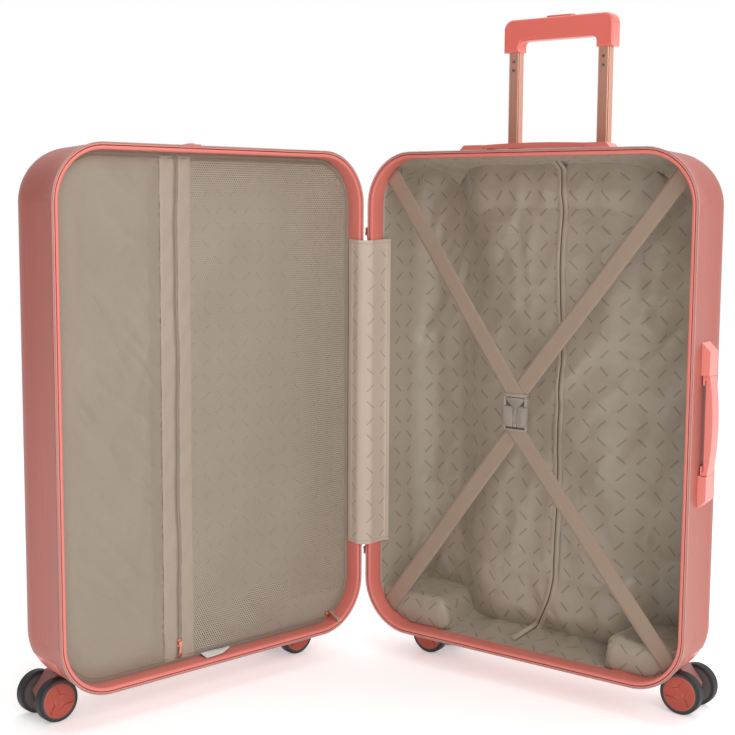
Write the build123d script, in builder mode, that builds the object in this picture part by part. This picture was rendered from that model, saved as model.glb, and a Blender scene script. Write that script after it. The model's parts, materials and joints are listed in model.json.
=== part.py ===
from build123d import *
import math
import os

# Hard shell suitcase on four twin-wheel casters, standing open like a book.
# Millimetres, +Z up, floor at z = 0, origin under the middle of the opened case.
# Each half is measured by u (from the hinge line to the free side), depth (from the
# opening into the shell) and z. The main half holds the trolley; the lid has the divider.

# Driving sizes of the case
rim_width = 515.0
rim_height = 700.0
rim_radius = 75.0
half_depth = 127.0
back_radius = 52.0
draft = 3.0
shell_wall = 2.0
ground_clearance = 43.0
open_angle = 98.1
hinge_gap = 2.8

# Rim profile: distances in from the outer rim line, and depths behind the parting plane
coil_proud = 0.6
coil_inner = 1.8
coil_front = 0.3
coil_back = 2.3
flange_lip = 0.2
flange_inner = 9.0
land_front = 0.5
flange_back = 4.0
groove_inset = 2.0
shell_inset = 1.0
shell_front = 6.0
band_inset = 6.5
band_depth = 27.0

# Lining: gap and cloth, measured inwards from the outer face of the shell
lining_gap = 4.2
lining_cloth = 1.0
lining_stand = 1.0

# Casters
wheel_radius = 28.5
wheel_width = 14.0
wheel_spacing = 46.0
tyre_wall = 5.5
caster_inset = 53.0
caster_depth = 88.0
caster_trail = 22.0
wheel_clearance = 3.0
fork_width = 29.0
axle_radius = 3.0
stem_radius = 5.0
stem_height = 17.0
stem_boss = 11.0
stem_sink = 10.0
swivel_radius = 15.0
swivel_gap = 0.5
fork_nose = 13.0
fork_round = 4.0
tyre_round = 2.5
cap_wall = 2.5
mark_sink = 1.2
mark_width = 2.4
mark_length = 10.0
mark_place = 13.8
mark_count = 3
running_clearance = 0.05
housing_wall = 3.0
housing_height = 46.0
well_wall = 3.5
well_margin = 2.0

# Trolley
trolley_depth = 100.0
trolley_spacing = 141.0
tube_width = 18.0
tube_depth = 14.0
tube_corner = 3.5
tube_wall = 1.2
tube_clearance = 0.2
handle_rest = 180.0
grip_flush = 3.0
stage_overlap = 110.0
grip_width = 172.0
grip_depth = 22.0
grip_bar = 30.0
grip_leg_width = 26.0
grip_leg_drop = 15.0
grip_socket = 25.0
button_length = 44.0
button_depth = 12.0
button_proud = 2.5
button_travel = 2.0
bezel_drop = 50.0
bezel_wall = 3.0
bezel_front = 84.0
grip_clearance = 4.0
grip_round = 14.0
grip_edge = 4.0
button_sunk = 6.0
button_edge = 1.0
stage_margin = 10.0
base_socket = 12.0
base_height = 24.0
base_rise = 60.0
base_wall = 3.0
rivet_radius = 2.2
rivet_pitch = 12.0

# Carry handles
top_handle_length = 244.0
side_handle_length = 212.0
handle_depth = 43.0
handle_width = 26.0
foot_length = 42.0
foot_height = 11.0
foot_base = 1.2
foot_roof = 2.0
tongue = 3.0
handle_gap = 6.0
top_bow = 2.0
side_bow = 5.0
slide_clearance = 0.4

# Cross straps and buckle
strap_width = 25.0
strap_cloth = 1.2
strap_level = 24.0
anchor_inset = 22.0
buckle_u = 246.0
buckle_z = 342.0
buckle_width = 37.0
buckle_height = 52.0
buckle_thick = 7.0
buckle_rail = 3.0

# Divider, zips and flap
divider_level = 23.0
divider_cloth = 1.2
zip_band = 7.0
divider_border = 8.0
pocket_zip_u = 322.0
pocket_zip_width = 9.0
pocket_tape = 20.0
zip_stand = 0.5
edge_slider_u = 52.0
slider_length = 12.0
slider_width = 9.0
slider_thick = 4.0
slider_gap = 0.2
pull_length = 24.0
pull_width = 6.0
pull_thick = 1.6
label_width = 42.0
label_height = 16.0
label_u = 266.0
label_thick = 1.2
parked_reach = 237.0
parked_depth = 8.0
parked_pull = 20.0
slider_inset = 0.8
slider_front = 0.7
flap_height = 450.0
flap_cloth = 1.6
flap_reach = 34.0
flap_lid_reach = 21.0
flap_front = 1.6

# Lock
lock_u = 297.0
lock_width = 26.0
lock_depth = 58.0
lock_centre_depth = 40.0
lock_proud = 4.0
dial_radius = 3.6
dial_thick = 4.0
dial_sides = 10
dial_pitch = 6.5
dial_proud = 0.8
spindle_radius = 1.0
lock_corner = 6.0
lock_edge = 1.0
latch_width = 8.0
latch_length = 9.0
latch_thick = 1.5
latch_place = 19.0

# How far a cutting form runs past what it cuts
overrun = 5.0
cut_margin = 1.0

# Worked out from the driving sizes
slope = math.tan(math.radians(draft))
u_mid = hinge_gap + rim_width / 2
u_end = hinge_gap + rim_width
z_mid = ground_clearance + rim_height / 2
z_top = ground_clearance + rim_height
lid_turn = math.radians(-open_angle)
far_side = u_end + foot_height
lid_corner_u = u_end - shell_inset - half_depth * slope - back_radius
lid_corner_depth = half_depth - back_radius
lid_reach = lid_corner_u * math.cos(lid_turn) + lid_corner_depth * math.sin(lid_turn) - back_radius
lid_low = u_end * math.sin(lid_turn)
hinge_x = -(far_side + lid_reach) / 2
hinge_y = -(half_depth + lid_low) / 2
guide_wall = tube_wall + tube_clearance


class Half:
    """One half of the case, with planes for sketches that are measured by u, depth and z."""

    def __init__(self, name, angle, outward):
        self.name = name
        self.outward = outward
        self.u_dir = Vector(math.cos(angle), math.sin(angle), 0)
        self.depth_dir = Vector(math.sin(angle), -math.cos(angle), 0) * outward

    def point(self, u, depth, z):
        return Vector(hinge_x, hinge_y, z) + self.u_dir * u + self.depth_dir * depth

    def rim_plane(self, depth):
        """Sketch x is u and sketch y is z."""
        return Plane(self.point(0, depth, 0), x_dir=self.u_dir, z_dir=self.depth_dir * self.outward)

    def floor_plane(self, z):
        """Sketch x is u and sketch y is depth, turned round on the lid."""
        return Plane(self.point(0, 0, z), x_dir=self.u_dir, z_dir=(0, 0, 1))

    def on_floor(self, u, depth):
        return (u, -self.outward * depth)

    def inwards(self, amount):
        """Extrusion amount that runs away from the opening."""
        return self.outward * amount


main = Half("main", 0.0, -1)
lid = Half("lid", lid_turn, 1)


def form(half, inset, front, back, edge_radius):
    """Solid with the rounded, drafted outline of a half, from one depth to another."""
    edge = inset + front * slope
    with BuildPart() as body:
        with BuildSketch(half.rim_plane(front)):
            with Locations((u_mid, z_mid)):
                RectangleRounded(rim_width - 2 * edge, rim_height - 2 * edge, rim_radius - edge)
        extrude(amount=half.inwards(back - front), taper=draft)
        rear = body.faces().sort_by_distance(half.point(u_mid, back, z_mid))[0]
        fillet(rear.edges(), edge_radius)
    return body.part


def shell_form(half, below, front):
    """The shell's outer form, offset inwards by a distance below its surface."""
    return form(half, shell_inset + below, front, half_depth - below, back_radius - below)


def block(half, u0, u1, d0, d1, z0, z1):
    """Plain block between two values of u, depth and z."""
    with BuildPart() as body:
        with BuildSketch(half.rim_plane(d0)):
            with Locations(((u0 + u1) / 2, (z0 + z1) / 2)):
                Rectangle(u1 - u0, z1 - z0)
        extrude(amount=half.inwards(d1 - d0))
    return body.part


def ring(half, outer, inner, d0, d1):
    """Band that follows the rim, between two distances in from the rim line."""
    with BuildPart() as band:
        with BuildSketch(half.rim_plane(d0)):
            with Locations((u_mid, z_mid)):
                RectangleRounded(rim_width - 2 * outer, rim_height - 2 * outer, rim_radius - outer)
                hole = (rim_width - 2 * inner, rim_height - 2 * inner, rim_radius - inner)
                RectangleRounded(*hole, mode=Mode.SUBTRACT)
        extrude(amount=half.inwards(d1 - d0))
    return band.part


def rim_fill(half, inset, d0, d1):
    """Plate with the rounded outline of the rim, inset by a distance."""
    with BuildPart() as plate:
        with BuildSketch(half.rim_plane(d0)):
            with Locations((u_mid, z_mid)):
                RectangleRounded(rim_width - 2 * inset, rim_height - 2 * inset, rim_radius - inset)
        extrude(amount=half.inwards(d1 - d0))
    return plate.part


def rod(half, u, z, radius, d0, d1):
    """Round bar along the depth direction."""
    with BuildPart() as bar:
        with BuildSketch(half.rim_plane(d0)):
            with Locations((u, z)):
                Circle(radius)
        extrude(amount=half.inwards(d1 - d0))
    return bar.part


def post(half, u, depth, radius, z0, z1):
    """Round bar along z."""
    with BuildPart() as bar:
        with BuildSketch(half.floor_plane(z0)):
            with Locations(half.on_floor(u, depth)):
                Circle(radius)
        extrude(amount=z1 - z0)
    return bar.part


os.makedirs("parts", exist_ok=True)


def save(part, label):
    part.label = label
    export_step(part, f"parts/{label}.step")


# Casters: where they stand, and the wheel wells that they swivel in
stem_us = (u_mid - rim_width / 2 + caster_inset, u_mid + rim_width / 2 - caster_inset)
axle_z = wheel_radius
well_roof = 2 * wheel_radius + wheel_clearance
half_track = (wheel_spacing + wheel_width) / 2
half_chord = math.sqrt(wheel_radius**2 - (ground_clearance - axle_z) ** 2)
well_radius = math.hypot(caster_trail + half_chord, half_track) + well_margin
housing_length = caster_inset + well_radius + well_wall
housing_front = caster_depth - well_radius - well_wall
housing_top = ground_clearance + housing_height


def housing_spans():
    """The u range of the wheel housing at each bottom corner, beyond the case on its outer side."""
    return (
        (hinge_gap - overrun, hinge_gap + housing_length),
        (u_end - housing_length, u_end + overrun),
    )


def housing_block(half, u0, u1, grow):
    """Space of one wheel housing, grown by a margin on its inner sides."""
    inner_first = u0 - grow if u0 > u_mid else u0
    inner_last = u1 + grow if u1 < u_mid else u1
    return block(
        half,
        inner_first,
        inner_last,
        housing_front - grow,
        half_depth + overrun,
        ground_clearance - overrun,
        housing_top + grow,
    )


# Trolley: tube positions and the sizes of the three nested stages
trolley_us = (u_mid - trolley_spacing / 2, u_mid + trolley_spacing / 2)
bezel_floor = z_top - bezel_drop
bezel_half = grip_width / 2 + grip_clearance + bezel_wall
base_bottom = ground_clearance + base_rise
guide_bottom = base_bottom + base_height - base_socket
grip_top = z_top + grip_flush + handle_rest
grip_bottom = grip_top - grip_bar - grip_leg_drop
middle_top = bezel_floor + bezel_wall
middle_width = tube_width + 2 * guide_wall
middle_depth = tube_depth + 2 * guide_wall
guide_width = middle_width + 2 * guide_wall
guide_depth = middle_depth + 2 * guide_wall
guide_front = trolley_depth - guide_depth / 2
base_front = guide_front - base_wall


def bezel_block(u_margin, front, low):
    return block(
        main,
        u_mid - bezel_half + u_margin,
        u_mid + bezel_half - u_margin,
        front,
        half_depth + overrun,
        low,
        z_top + overrun,
    )


def base_block(grow):
    return block(
        main,
        u_mid - bezel_half - grow,
        u_mid + bezel_half + grow,
        base_front - grow,
        half_depth - shell_wall,
        base_bottom - grow,
        base_bottom + base_height + grow,
    )


def tube_pair(width, depth, corner, wall, z0, z1):
    """Two rounded rectangular tubes, side by side."""
    with BuildPart() as pair:
        with BuildSketch(main.floor_plane(z0)):
            with Locations(*[main.on_floor(u, trolley_depth) for u in trolley_us]):
                RectangleRounded(width, depth, corner)
                if wall > 0:
                    inner = (width - 2 * wall, depth - 2 * wall)
                    RectangleRounded(*inner, corner - wall, mode=Mode.SUBTRACT)
        extrude(amount=z1 - z0)
    return pair.part


# Shells, with the wheel wells and the trolley recess cut out
def make_shell(half):
    outer = shell_form(half, 0.0, shell_front)
    inner = shell_form(half, shell_wall, shell_front)
    wells = [housing_block(half, u0, u1, 0.0) for u0, u1 in housing_spans()]
    with BuildPart() as shell:
        add(outer)
        add(inner, mode=Mode.SUBTRACT)
        add(wells, mode=Mode.SUBTRACT)
        if half is main:
            add(bezel_block(0.0, bezel_front, bezel_floor), mode=Mode.SUBTRACT)
        else:
            add(lock_pocket(-2 * shell_wall, shell_wall), mode=Mode.SUBTRACT)
    save(shell.part, f"{half.name}_shell")


# Rim frames: a flange on the parting plane, a groove behind it and a band inside the shell
def make_rim(half):
    with BuildPart() as frame:
        add(ring(half, coil_inner, flange_inner, land_front, coil_back))
        add(ring(half, flange_lip, flange_inner, coil_back, flange_back))
        add(ring(half, groove_inset, flange_inner, flange_back, shell_front))
        add(ring(half, band_inset, flange_inner, shell_front, band_depth))
    save(frame.part, f"{half.name}_rim_frame")
    with BuildPart() as coil:
        add(ring(half, -coil_proud, coil_inner, coil_front, coil_back))
    save(coil.part, f"{half.name}_zip_coil")


# Linings: cloth trays that stand off the shell, the wheel housings and the trolley tubes
def lining_spaces(half, grow):
    spaces = [housing_block(half, u0, u1, grow) for u0, u1 in housing_spans()]
    if half is main:
        side = guide_width / 2 + grow
        for u in trolley_us:
            spaces.append(block(half, u - side, u + side, guide_front - grow, half_depth, 0.0, z_top))
        spaces.append(bezel_block(-grow, bezel_front - grow, bezel_floor - grow))
        spaces.append(base_block(grow))
    return spaces


def make_lining(half):
    outer = shell_form(half, lining_gap, band_depth)
    inner = shell_form(half, lining_gap + lining_cloth, band_depth)
    clear = lining_spaces(half, lining_stand)
    covered = lining_spaces(half, lining_stand + lining_cloth)
    with BuildPart() as hollow:
        add(inner)
        add(covered, mode=Mode.SUBTRACT)
    with BuildPart() as cloth:
        add(outer)
        add(clear, mode=Mode.SUBTRACT)
        add(hollow.part, mode=Mode.SUBTRACT)
    save(cloth.part, f"{half.name}_lining")


# Wheel housings: moulded corners that carry the swivel stems above open wheel wells
def make_housings(half):
    outer = shell_form(half, shell_inset, shell_front)
    inner = shell_form(half, shell_inset + housing_wall, shell_front)
    corners = [housing_block(half, u0, u1, 0.0) for u0, u1 in housing_spans()]
    floor = well_roof + well_wall
    pockets = [
        block(half, u0 - overrun, u1 + overrun, 0.0, half_depth, floor, housing_top + overrun)
        for u0, u1 in housing_spans()
    ]
    with BuildPart() as cavity:
        add(inner)
        add(pockets, mode=Mode.INTERSECT)
    with BuildPart() as housings:
        add(outer)
        add(corners, mode=Mode.INTERSECT)
        add(cavity.part, mode=Mode.SUBTRACT)
        for u in stem_us:
            well = post(half, u, caster_depth, well_radius, ground_clearance - overrun, well_roof)
            hole = stem_radius + running_clearance
            boss_top = well_roof + stem_height
            bearing = post(half, u, caster_depth, hole, well_roof - cut_margin, boss_top)
            add(well, mode=Mode.SUBTRACT)
            add(post(half, u, caster_depth, stem_boss, well_roof, boss_top))
            add(bearing, mode=Mode.SUBTRACT)
    save(housings.part, f"{half.name}_wheel_housings")


# Casters: fork, swivel stem, axle, and a pair of tyred wheels on the axle
fork_top = well_roof - swivel_gap
fork_low = axle_z - fork_nose
hub_radius = wheel_radius - tyre_wall
track = (-wheel_spacing / 2, wheel_spacing / 2)


def make_fork(half, u, name):
    axle_u = u + caster_trail
    with BuildPart() as fork:
        with BuildSketch(half.rim_plane(caster_depth - fork_width / 2)) as side_view:
            with BuildLine():
                Polyline(
                    (u - swivel_radius, fork_top),
                    (u + swivel_radius, fork_top),
                    (axle_u + fork_nose, axle_z + fork_nose / 2),
                    (axle_u + fork_nose / 2, fork_low),
                    (axle_u - fork_nose / 2, fork_low),
                    (u - swivel_radius, fork_top - swivel_radius),
                    close=True,
                )
            make_face()
            fillet(side_view.vertices(), fork_round)
        extrude(amount=half.inwards(fork_width))
        bore = axle_radius + running_clearance
        side = fork_width / 2 + cut_margin
        bushing = rod(half, axle_u, axle_z, bore, caster_depth - side, caster_depth + side)
        add(bushing, mode=Mode.SUBTRACT)
        seat = stem_radius + running_clearance
        ends = (fork_top - stem_sink, fork_top + cut_margin)
        add(post(half, u, caster_depth, seat, *ends), mode=Mode.SUBTRACT)
    save(fork.part, f"{name}_fork")


def make_stem(half, u, name):
    with BuildPart() as stem:
        add(post(half, u, caster_depth, stem_radius, fork_top - stem_sink, well_roof + stem_height))
    save(stem.part, f"{name}_stem")


def make_axle(half, axle_u, name):
    side = wheel_spacing / 2 + wheel_width / 2 - cap_wall
    with BuildPart() as axle:
        add(rod(half, axle_u, axle_z, axle_radius, caster_depth - side, caster_depth + side))
    save(axle.part, f"{name}_axle")


def make_tyres(half, axle_u, name):
    with BuildPart() as tyres:
        for offset in track:
            front = caster_depth + offset - wheel_width / 2
            add(rod(half, axle_u, axle_z, wheel_radius, front, front + wheel_width))
        fillet(tyres.edges().filter_by(GeomType.CIRCLE), tyre_round)
        side = half_track + cut_margin
        seat = hub_radius + running_clearance
        add(rod(half, axle_u, axle_z, seat, caster_depth - side, caster_depth + side), mode=Mode.SUBTRACT)
    save(tyres.part, f"{name}_tyres")


def make_hubs(half, axle_u, name):
    bore = axle_radius + running_clearance
    inner_side = half_track - cap_wall
    with BuildPart() as hubs:
        for offset in track:
            front = caster_depth + offset - wheel_width / 2
            add(rod(half, axle_u, axle_z, hub_radius, front, front + wheel_width))
            face = front if offset < 0 else front + wheel_width
            step = mark_sink if offset < 0 else -mark_sink
            with BuildSketch(half.rim_plane(face)):
                with Locations((axle_u, axle_z)):
                    with PolarLocations(mark_place, mark_count, start_angle=90):
                        Rectangle(mark_width, mark_length)
            extrude(amount=half.inwards(step), mode=Mode.SUBTRACT)
        low = caster_depth - inner_side
        add(rod(half, axle_u, axle_z, bore, low, caster_depth + inner_side), mode=Mode.SUBTRACT)
    save(hubs.part, f"{name}_hubs")


def make_caster(half, place, u):
    name = f"{half.name}_{place}_caster"
    axle_u = u + caster_trail
    make_fork(half, u, name)
    make_stem(half, u, name)
    make_axle(half, axle_u, name)
    make_tyres(half, axle_u, name)
    make_hubs(half, axle_u, name)


# Trolley: guide tubes in the case, two sliding stages, grip, button, top bezel and base
def make_trolley():
    guide_corner = tube_corner + 2 * guide_wall
    middle_corner = tube_corner + guide_wall
    guides = tube_pair(guide_width, guide_depth, guide_corner, tube_wall, guide_bottom, bezel_floor)
    save(guides, "trolley_guide_tubes")
    stage_bottom = base_bottom + base_height + stage_margin
    stages = tube_pair(middle_width, middle_depth, middle_corner, tube_wall, stage_bottom, middle_top)
    save(stages, "trolley_middle_tubes")

    inner_bottom = middle_top - stage_overlap
    inner_top = grip_bottom + grip_socket
    rivet_zs = (grip_bottom - rivet_pitch, grip_bottom - 2 * rivet_pitch)
    front = trolley_depth - tube_depth / 2
    with BuildPart() as rivets:
        for u in trolley_us:
            for z in rivet_zs:
                add(rod(main, u, z, rivet_radius, front, front + tube_depth))
    save(rivets.part, "trolley_rivets")
    with BuildPart() as tubes:
        add(tube_pair(tube_width, tube_depth, tube_corner, tube_wall, inner_bottom, inner_top))
        for u in trolley_us:
            for z in rivet_zs:
                hole = rivet_radius + running_clearance
                back = front + tube_depth + cut_margin
                add(rod(main, u, z, hole, front - cut_margin, back), mode=Mode.SUBTRACT)
    save(tubes.part, "trolley_inner_tubes")

    play = 2 * tube_clearance
    holes = tube_pair(
        middle_width + play,
        middle_depth + play,
        middle_corner,
        0.0,
        bezel_floor - cut_margin,
        z_top,
    )
    with BuildPart() as bezel:
        add(shell_form(main, 0.0, shell_front))
        add(bezel_block(0.0, bezel_front, bezel_floor), mode=Mode.INTERSECT)
        recess = bezel_block(bezel_wall, bezel_front + bezel_wall, bezel_floor + bezel_wall)
        add(recess, mode=Mode.SUBTRACT)
        add(holes, mode=Mode.SUBTRACT)
    save(bezel.part, "trolley_bezel")

    sockets = tube_pair(
        guide_width + play, guide_depth + play, guide_corner, 0.0, guide_bottom, bezel_floor
    )
    with BuildPart() as base:
        add(base_block(0.0))
        add(sockets, mode=Mode.SUBTRACT)
    save(base.part, "trolley_base")


def make_grip():
    button_seat = grip_top - button_sunk - button_travel - slide_clearance
    slot_length = button_length + 2 * slide_clearance
    slot_depth = button_depth + 2 * slide_clearance
    sockets = tube_pair(
        tube_width + running_clearance,
        tube_depth + running_clearance,
        tube_corner,
        0.0,
        grip_bottom - cut_margin,
        grip_bottom + grip_socket,
    )
    opening_top = grip_top - grip_bar
    opening_low = grip_bottom - grip_round
    height = grip_top - opening_low
    with BuildPart() as grip:
        with BuildSketch(main.rim_plane(trolley_depth - grip_depth / 2)) as outline:
            with Locations((u_mid, grip_top - height / 2)):
                RectangleRounded(grip_width, height, grip_round)
            with Locations((u_mid, opening_low)):
                Rectangle(grip_width, 2 * grip_round, mode=Mode.SUBTRACT)
            with Locations((u_mid, opening_top - height / 2)):
                RectangleRounded(
                    grip_width - 2 * grip_leg_width, height, grip_round / 2, mode=Mode.SUBTRACT
                )
        extrude(amount=main.inwards(grip_depth))
        fillet(grip.edges().filter_by(Axis.Y, reverse=True), grip_edge)
        add(sockets, mode=Mode.SUBTRACT)
        with BuildSketch(main.floor_plane(button_seat)):
            with Locations(main.on_floor(u_mid, trolley_depth)):
                SlotOverall(slot_length, slot_depth)
        extrude(amount=grip_bar, mode=Mode.SUBTRACT)
    save(grip.part, "trolley_grip")
    with BuildPart() as button:
        with BuildSketch(main.floor_plane(grip_top - button_sunk)):
            with Locations(main.on_floor(u_mid, trolley_depth)):
                SlotOverall(button_length, button_depth)
        extrude(amount=button_sunk + button_proud)
        fillet(button.faces().sort_by(Axis.Z)[-1].edges(), button_edge)
    save(button.part, "trolley_button")


# Carry handles: a bowed grip whose tongues ride up and down inside two hollow feet
def make_carry_handle(name, plane, length, bow):
    """Handle on a surface plane: x runs along the handle and z away from the case."""
    foot_end = length / 2
    foot_start = foot_end - foot_length
    side_plane = Plane(plane.origin, x_dir=plane.x_dir, z_dir=-plane.y_dir)
    with BuildPart() as feet:
        with BuildSketch(side_plane):
            with BuildLine():
                Polyline(
                    (foot_start, 0),
                    (foot_end, 0),
                    (foot_end - foot_height, foot_height),
                    (foot_start, foot_height),
                    close=True,
                )
            make_face()
        extrude(amount=handle_width / 2, both=True)
        cavity_end = foot_end - foot_height - foot_roof
        cavity_start = foot_start - cut_margin
        cavity_top = foot_height - foot_roof
        with BuildSketch(side_plane):
            with Locations(((cavity_start + cavity_end) / 2, (foot_base + cavity_top) / 2)):
                Rectangle(cavity_end - cavity_start, cavity_top - foot_base)
        extrude(amount=handle_width / 2 - foot_roof, both=True, mode=Mode.SUBTRACT)
        mirror(about=Plane(plane.origin, x_dir=plane.y_dir, z_dir=plane.x_dir))
    save(feet.part, f"{name}_feet")

    bar_end = foot_start - slide_clearance
    tongue_low = foot_base + slide_clearance
    tongue_end = cavity_end - slide_clearance
    half_width = handle_width / 2 - foot_roof - slide_clearance
    with BuildPart() as grip:
        with BuildSketch(side_plane):
            with BuildLine():
                Polyline(
                    (-bar_end, foot_height),
                    (-bar_end, tongue_low),
                    (-bar_end + handle_gap, handle_gap),
                    (bar_end - handle_gap, handle_gap),
                    (bar_end, tongue_low),
                    (bar_end, foot_height),
                )
                ThreePointArc((bar_end, foot_height), (0, foot_height + bow), (-bar_end, foot_height))
            make_face()
        extrude(amount=half_width, both=True)
        with BuildSketch(side_plane):
            with Locations((0, tongue_low + tongue / 2)):
                Rectangle(2 * tongue_end, tongue)
            Rectangle(2 * (bar_end - 2 * handle_gap), 4 * handle_gap, mode=Mode.SUBTRACT)
        extrude(amount=half_width, both=True)
    save(grip.part, f"{name}_grip")


def surface_inset(depth):
    """How far the drafted shell wall stands in from the rim line at a depth."""
    return shell_inset + depth * slope


def top_plane(half, u, depth):
    """Plane on the drafted top wall, with x along u."""
    normal = Vector(0, 0, 1) + half.depth_dir * slope
    return Plane(half.point(u, depth, z_top - surface_inset(depth)), x_dir=half.u_dir, z_dir=normal)


def side_plane_at(half, depth, z):
    """Plane on the drafted free side wall, with x running up."""
    normal = half.u_dir + half.depth_dir * slope
    return Plane(half.point(u_end - surface_inset(depth), depth, z), x_dir=(0, 0, 1), z_dir=normal)


# Cross straps and the side-release buckle that joins them
def strap(start, low_z, centre_u, level):
    """Strip of webbing from a corner of the case to one bar of the buckle."""
    run = Vector(centre_u - start[0], low_z - start[1])
    across = Vector(-run.Y, run.X).normalized() * (strap_width / 2)
    bar_half = strap_width / 2 * run.length / abs(run.Y)
    turn = 1.0 if across.X > 0 else -1.0
    with BuildPart() as strip:
        with BuildSketch(main.rim_plane(level)):
            with BuildLine():
                Polyline(
                    (start[0] + across.X, start[1] + across.Y),
                    (start[0] - across.X, start[1] - across.Y),
                    (centre_u - turn * bar_half, low_z),
                    (centre_u + turn * bar_half, low_z),
                    close=True,
                )
            make_face()
        extrude(amount=main.inwards(strap_cloth))
    return strip.part


def make_straps():
    mouth = rim_fill(main, flange_inner, shell_front, band_depth)
    buckle_mid = ground_clearance + buckle_z
    upper_bar = buckle_mid + buckle_height / 2
    lower_bar = buckle_mid - buckle_height / 2
    near = hinge_gap + anchor_inset
    far = u_end - anchor_inset
    high = z_top - anchor_inset
    low = ground_clearance + anchor_inset
    with BuildPart() as upper:
        add(strap((near, high), upper_bar, buckle_u, strap_level))
        add(strap((far, high), upper_bar, buckle_u, strap_level + strap_cloth))
        add(mouth, mode=Mode.INTERSECT)
    save(upper.part, "upper_straps")
    with BuildPart() as lower:
        add(strap((far, low), lower_bar, buckle_u, strap_level))
        add(strap((near, low), lower_bar, buckle_u, strap_level + strap_cloth))
        add(mouth, mode=Mode.INTERSECT)
    save(lower.part, "lower_straps")

    front = strap_level + strap_cloth - buckle_thick / 2
    seam = buckle_mid + buckle_height / 6
    tongue_wide = buckle_width - 4 * buckle_rail
    with BuildPart() as plug:
        with BuildSketch(main.rim_plane(front)):
            with Locations((buckle_u, (upper_bar + seam) / 2)):
                Rectangle(buckle_width, upper_bar - seam)
                Rectangle(strap_width, (upper_bar - seam) / 3, mode=Mode.SUBTRACT)
        extrude(amount=main.inwards(buckle_thick))
        with BuildSketch(main.rim_plane(front + buckle_thick / 3)):
            with Locations((buckle_u, (seam + lower_bar) / 2 + buckle_rail)):
                Rectangle(tongue_wide, seam - lower_bar - 4 * buckle_rail)
            with Locations((buckle_u, seam - buckle_rail / 2)):
                Rectangle(tongue_wide, 2 * buckle_rail)
        extrude(amount=main.inwards(buckle_thick / 3))
    save(plug.part, "buckle_plug")
    with BuildPart() as socket:
        with BuildSketch(main.rim_plane(front)):
            with Locations((buckle_u, (seam + lower_bar) / 2)):
                Rectangle(buckle_width, seam - lower_bar)
        extrude(amount=main.inwards(buckle_thick))
        with BuildSketch(main.rim_plane(front + buckle_thick / 3 - slide_clearance)):
            with Locations((buckle_u, (seam + lower_bar) / 2 + buckle_rail)):
                Rectangle(tongue_wide + 2 * slide_clearance, seam - lower_bar - 2 * buckle_rail)
        extrude(amount=main.inwards(buckle_thick / 3 + 2 * slide_clearance), mode=Mode.SUBTRACT)
    save(socket.part, "buckle_socket")


# Divider that closes the lid: edge zip, cloth panel with a zipped pocket, and mesh window
def divider_strip(inset, u0, u1):
    """Part of the divider between two values of u, inside the rounded rim line."""
    with BuildPart() as strip:
        back = divider_level + divider_cloth
        add(rim_fill(lid, inset, divider_level, back))
        add(block(lid, u0, u1, divider_level, back, ground_clearance, z_top), mode=Mode.INTERSECT)
    return strip.part


def make_divider():
    zip_inner = flange_inner + zip_band
    mesh_edge = zip_inner + divider_border
    zip_right = pocket_zip_u + pocket_zip_width / 2
    zip_left = pocket_zip_u - pocket_zip_width / 2
    mesh = divider_strip(mesh_edge, hinge_gap, zip_left - pocket_tape)
    pocket_zip = divider_strip(mesh_edge, zip_left, zip_right)
    zip_face = divider_level - zip_stand
    with BuildPart() as edge_zip:
        add(ring(lid, flange_inner, zip_inner, zip_face, zip_face + 2 * zip_stand + divider_cloth))
    save(edge_zip.part, "divider_zip")
    with BuildPart() as panel:
        add(divider_strip(zip_inner, hinge_gap, u_end))
        add(mesh, mode=Mode.SUBTRACT)
        add(pocket_zip, mode=Mode.SUBTRACT)
    save(panel.part, "divider_panel")
    save(mesh, "divider_mesh")
    save(pocket_zip, "pocket_zip")

    slider_z = ground_clearance + mesh_edge + slider_length
    slider_back = divider_level - slider_gap
    slider_face = slider_back - slider_thick
    with BuildPart() as slider:
        span = (pocket_zip_u - slider_width / 2, pocket_zip_u + slider_width / 2)
        ends = (slider_z - slider_length / 2, slider_z + slider_length / 2)
        add(block(lid, *span, slider_face, slider_back, *ends))
        span = (pocket_zip_u - pull_width / 2, pocket_zip_u + pull_width / 2)
        ends = (slider_z + pull_width - pull_length, slider_z + pull_width)
        add(block(lid, *span, slider_face - pull_thick, slider_face, *ends))
    save(slider.part, "pocket_zip_slider")

    band_floor = ground_clearance + flange_inner
    side = slider_length / 2
    curve = rim_radius - flange_inner
    over = hinge_gap + rim_radius - (edge_slider_u - side)
    rise = band_floor + curve - math.sqrt(curve**2 - over**2)
    slider_face = zip_face - slider_thick
    with BuildPart() as edge_slider:
        span = (edge_slider_u - side, edge_slider_u + side)
        add(block(lid, *span, slider_face, zip_face, rise, rise + slider_width))
        span = (edge_slider_u - pull_width / 2, edge_slider_u + pull_width / 2)
        add(block(lid, *span, land_front, slider_face, rise, rise + pull_thick))
    save(edge_slider.part, "divider_zip_slider")
    span = (label_u - label_width / 2, label_u + label_width / 2)
    label_front = zip_face - label_height
    save(block(lid, *span, label_front, zip_face, band_floor, band_floor + label_thick), "care_label")


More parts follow.
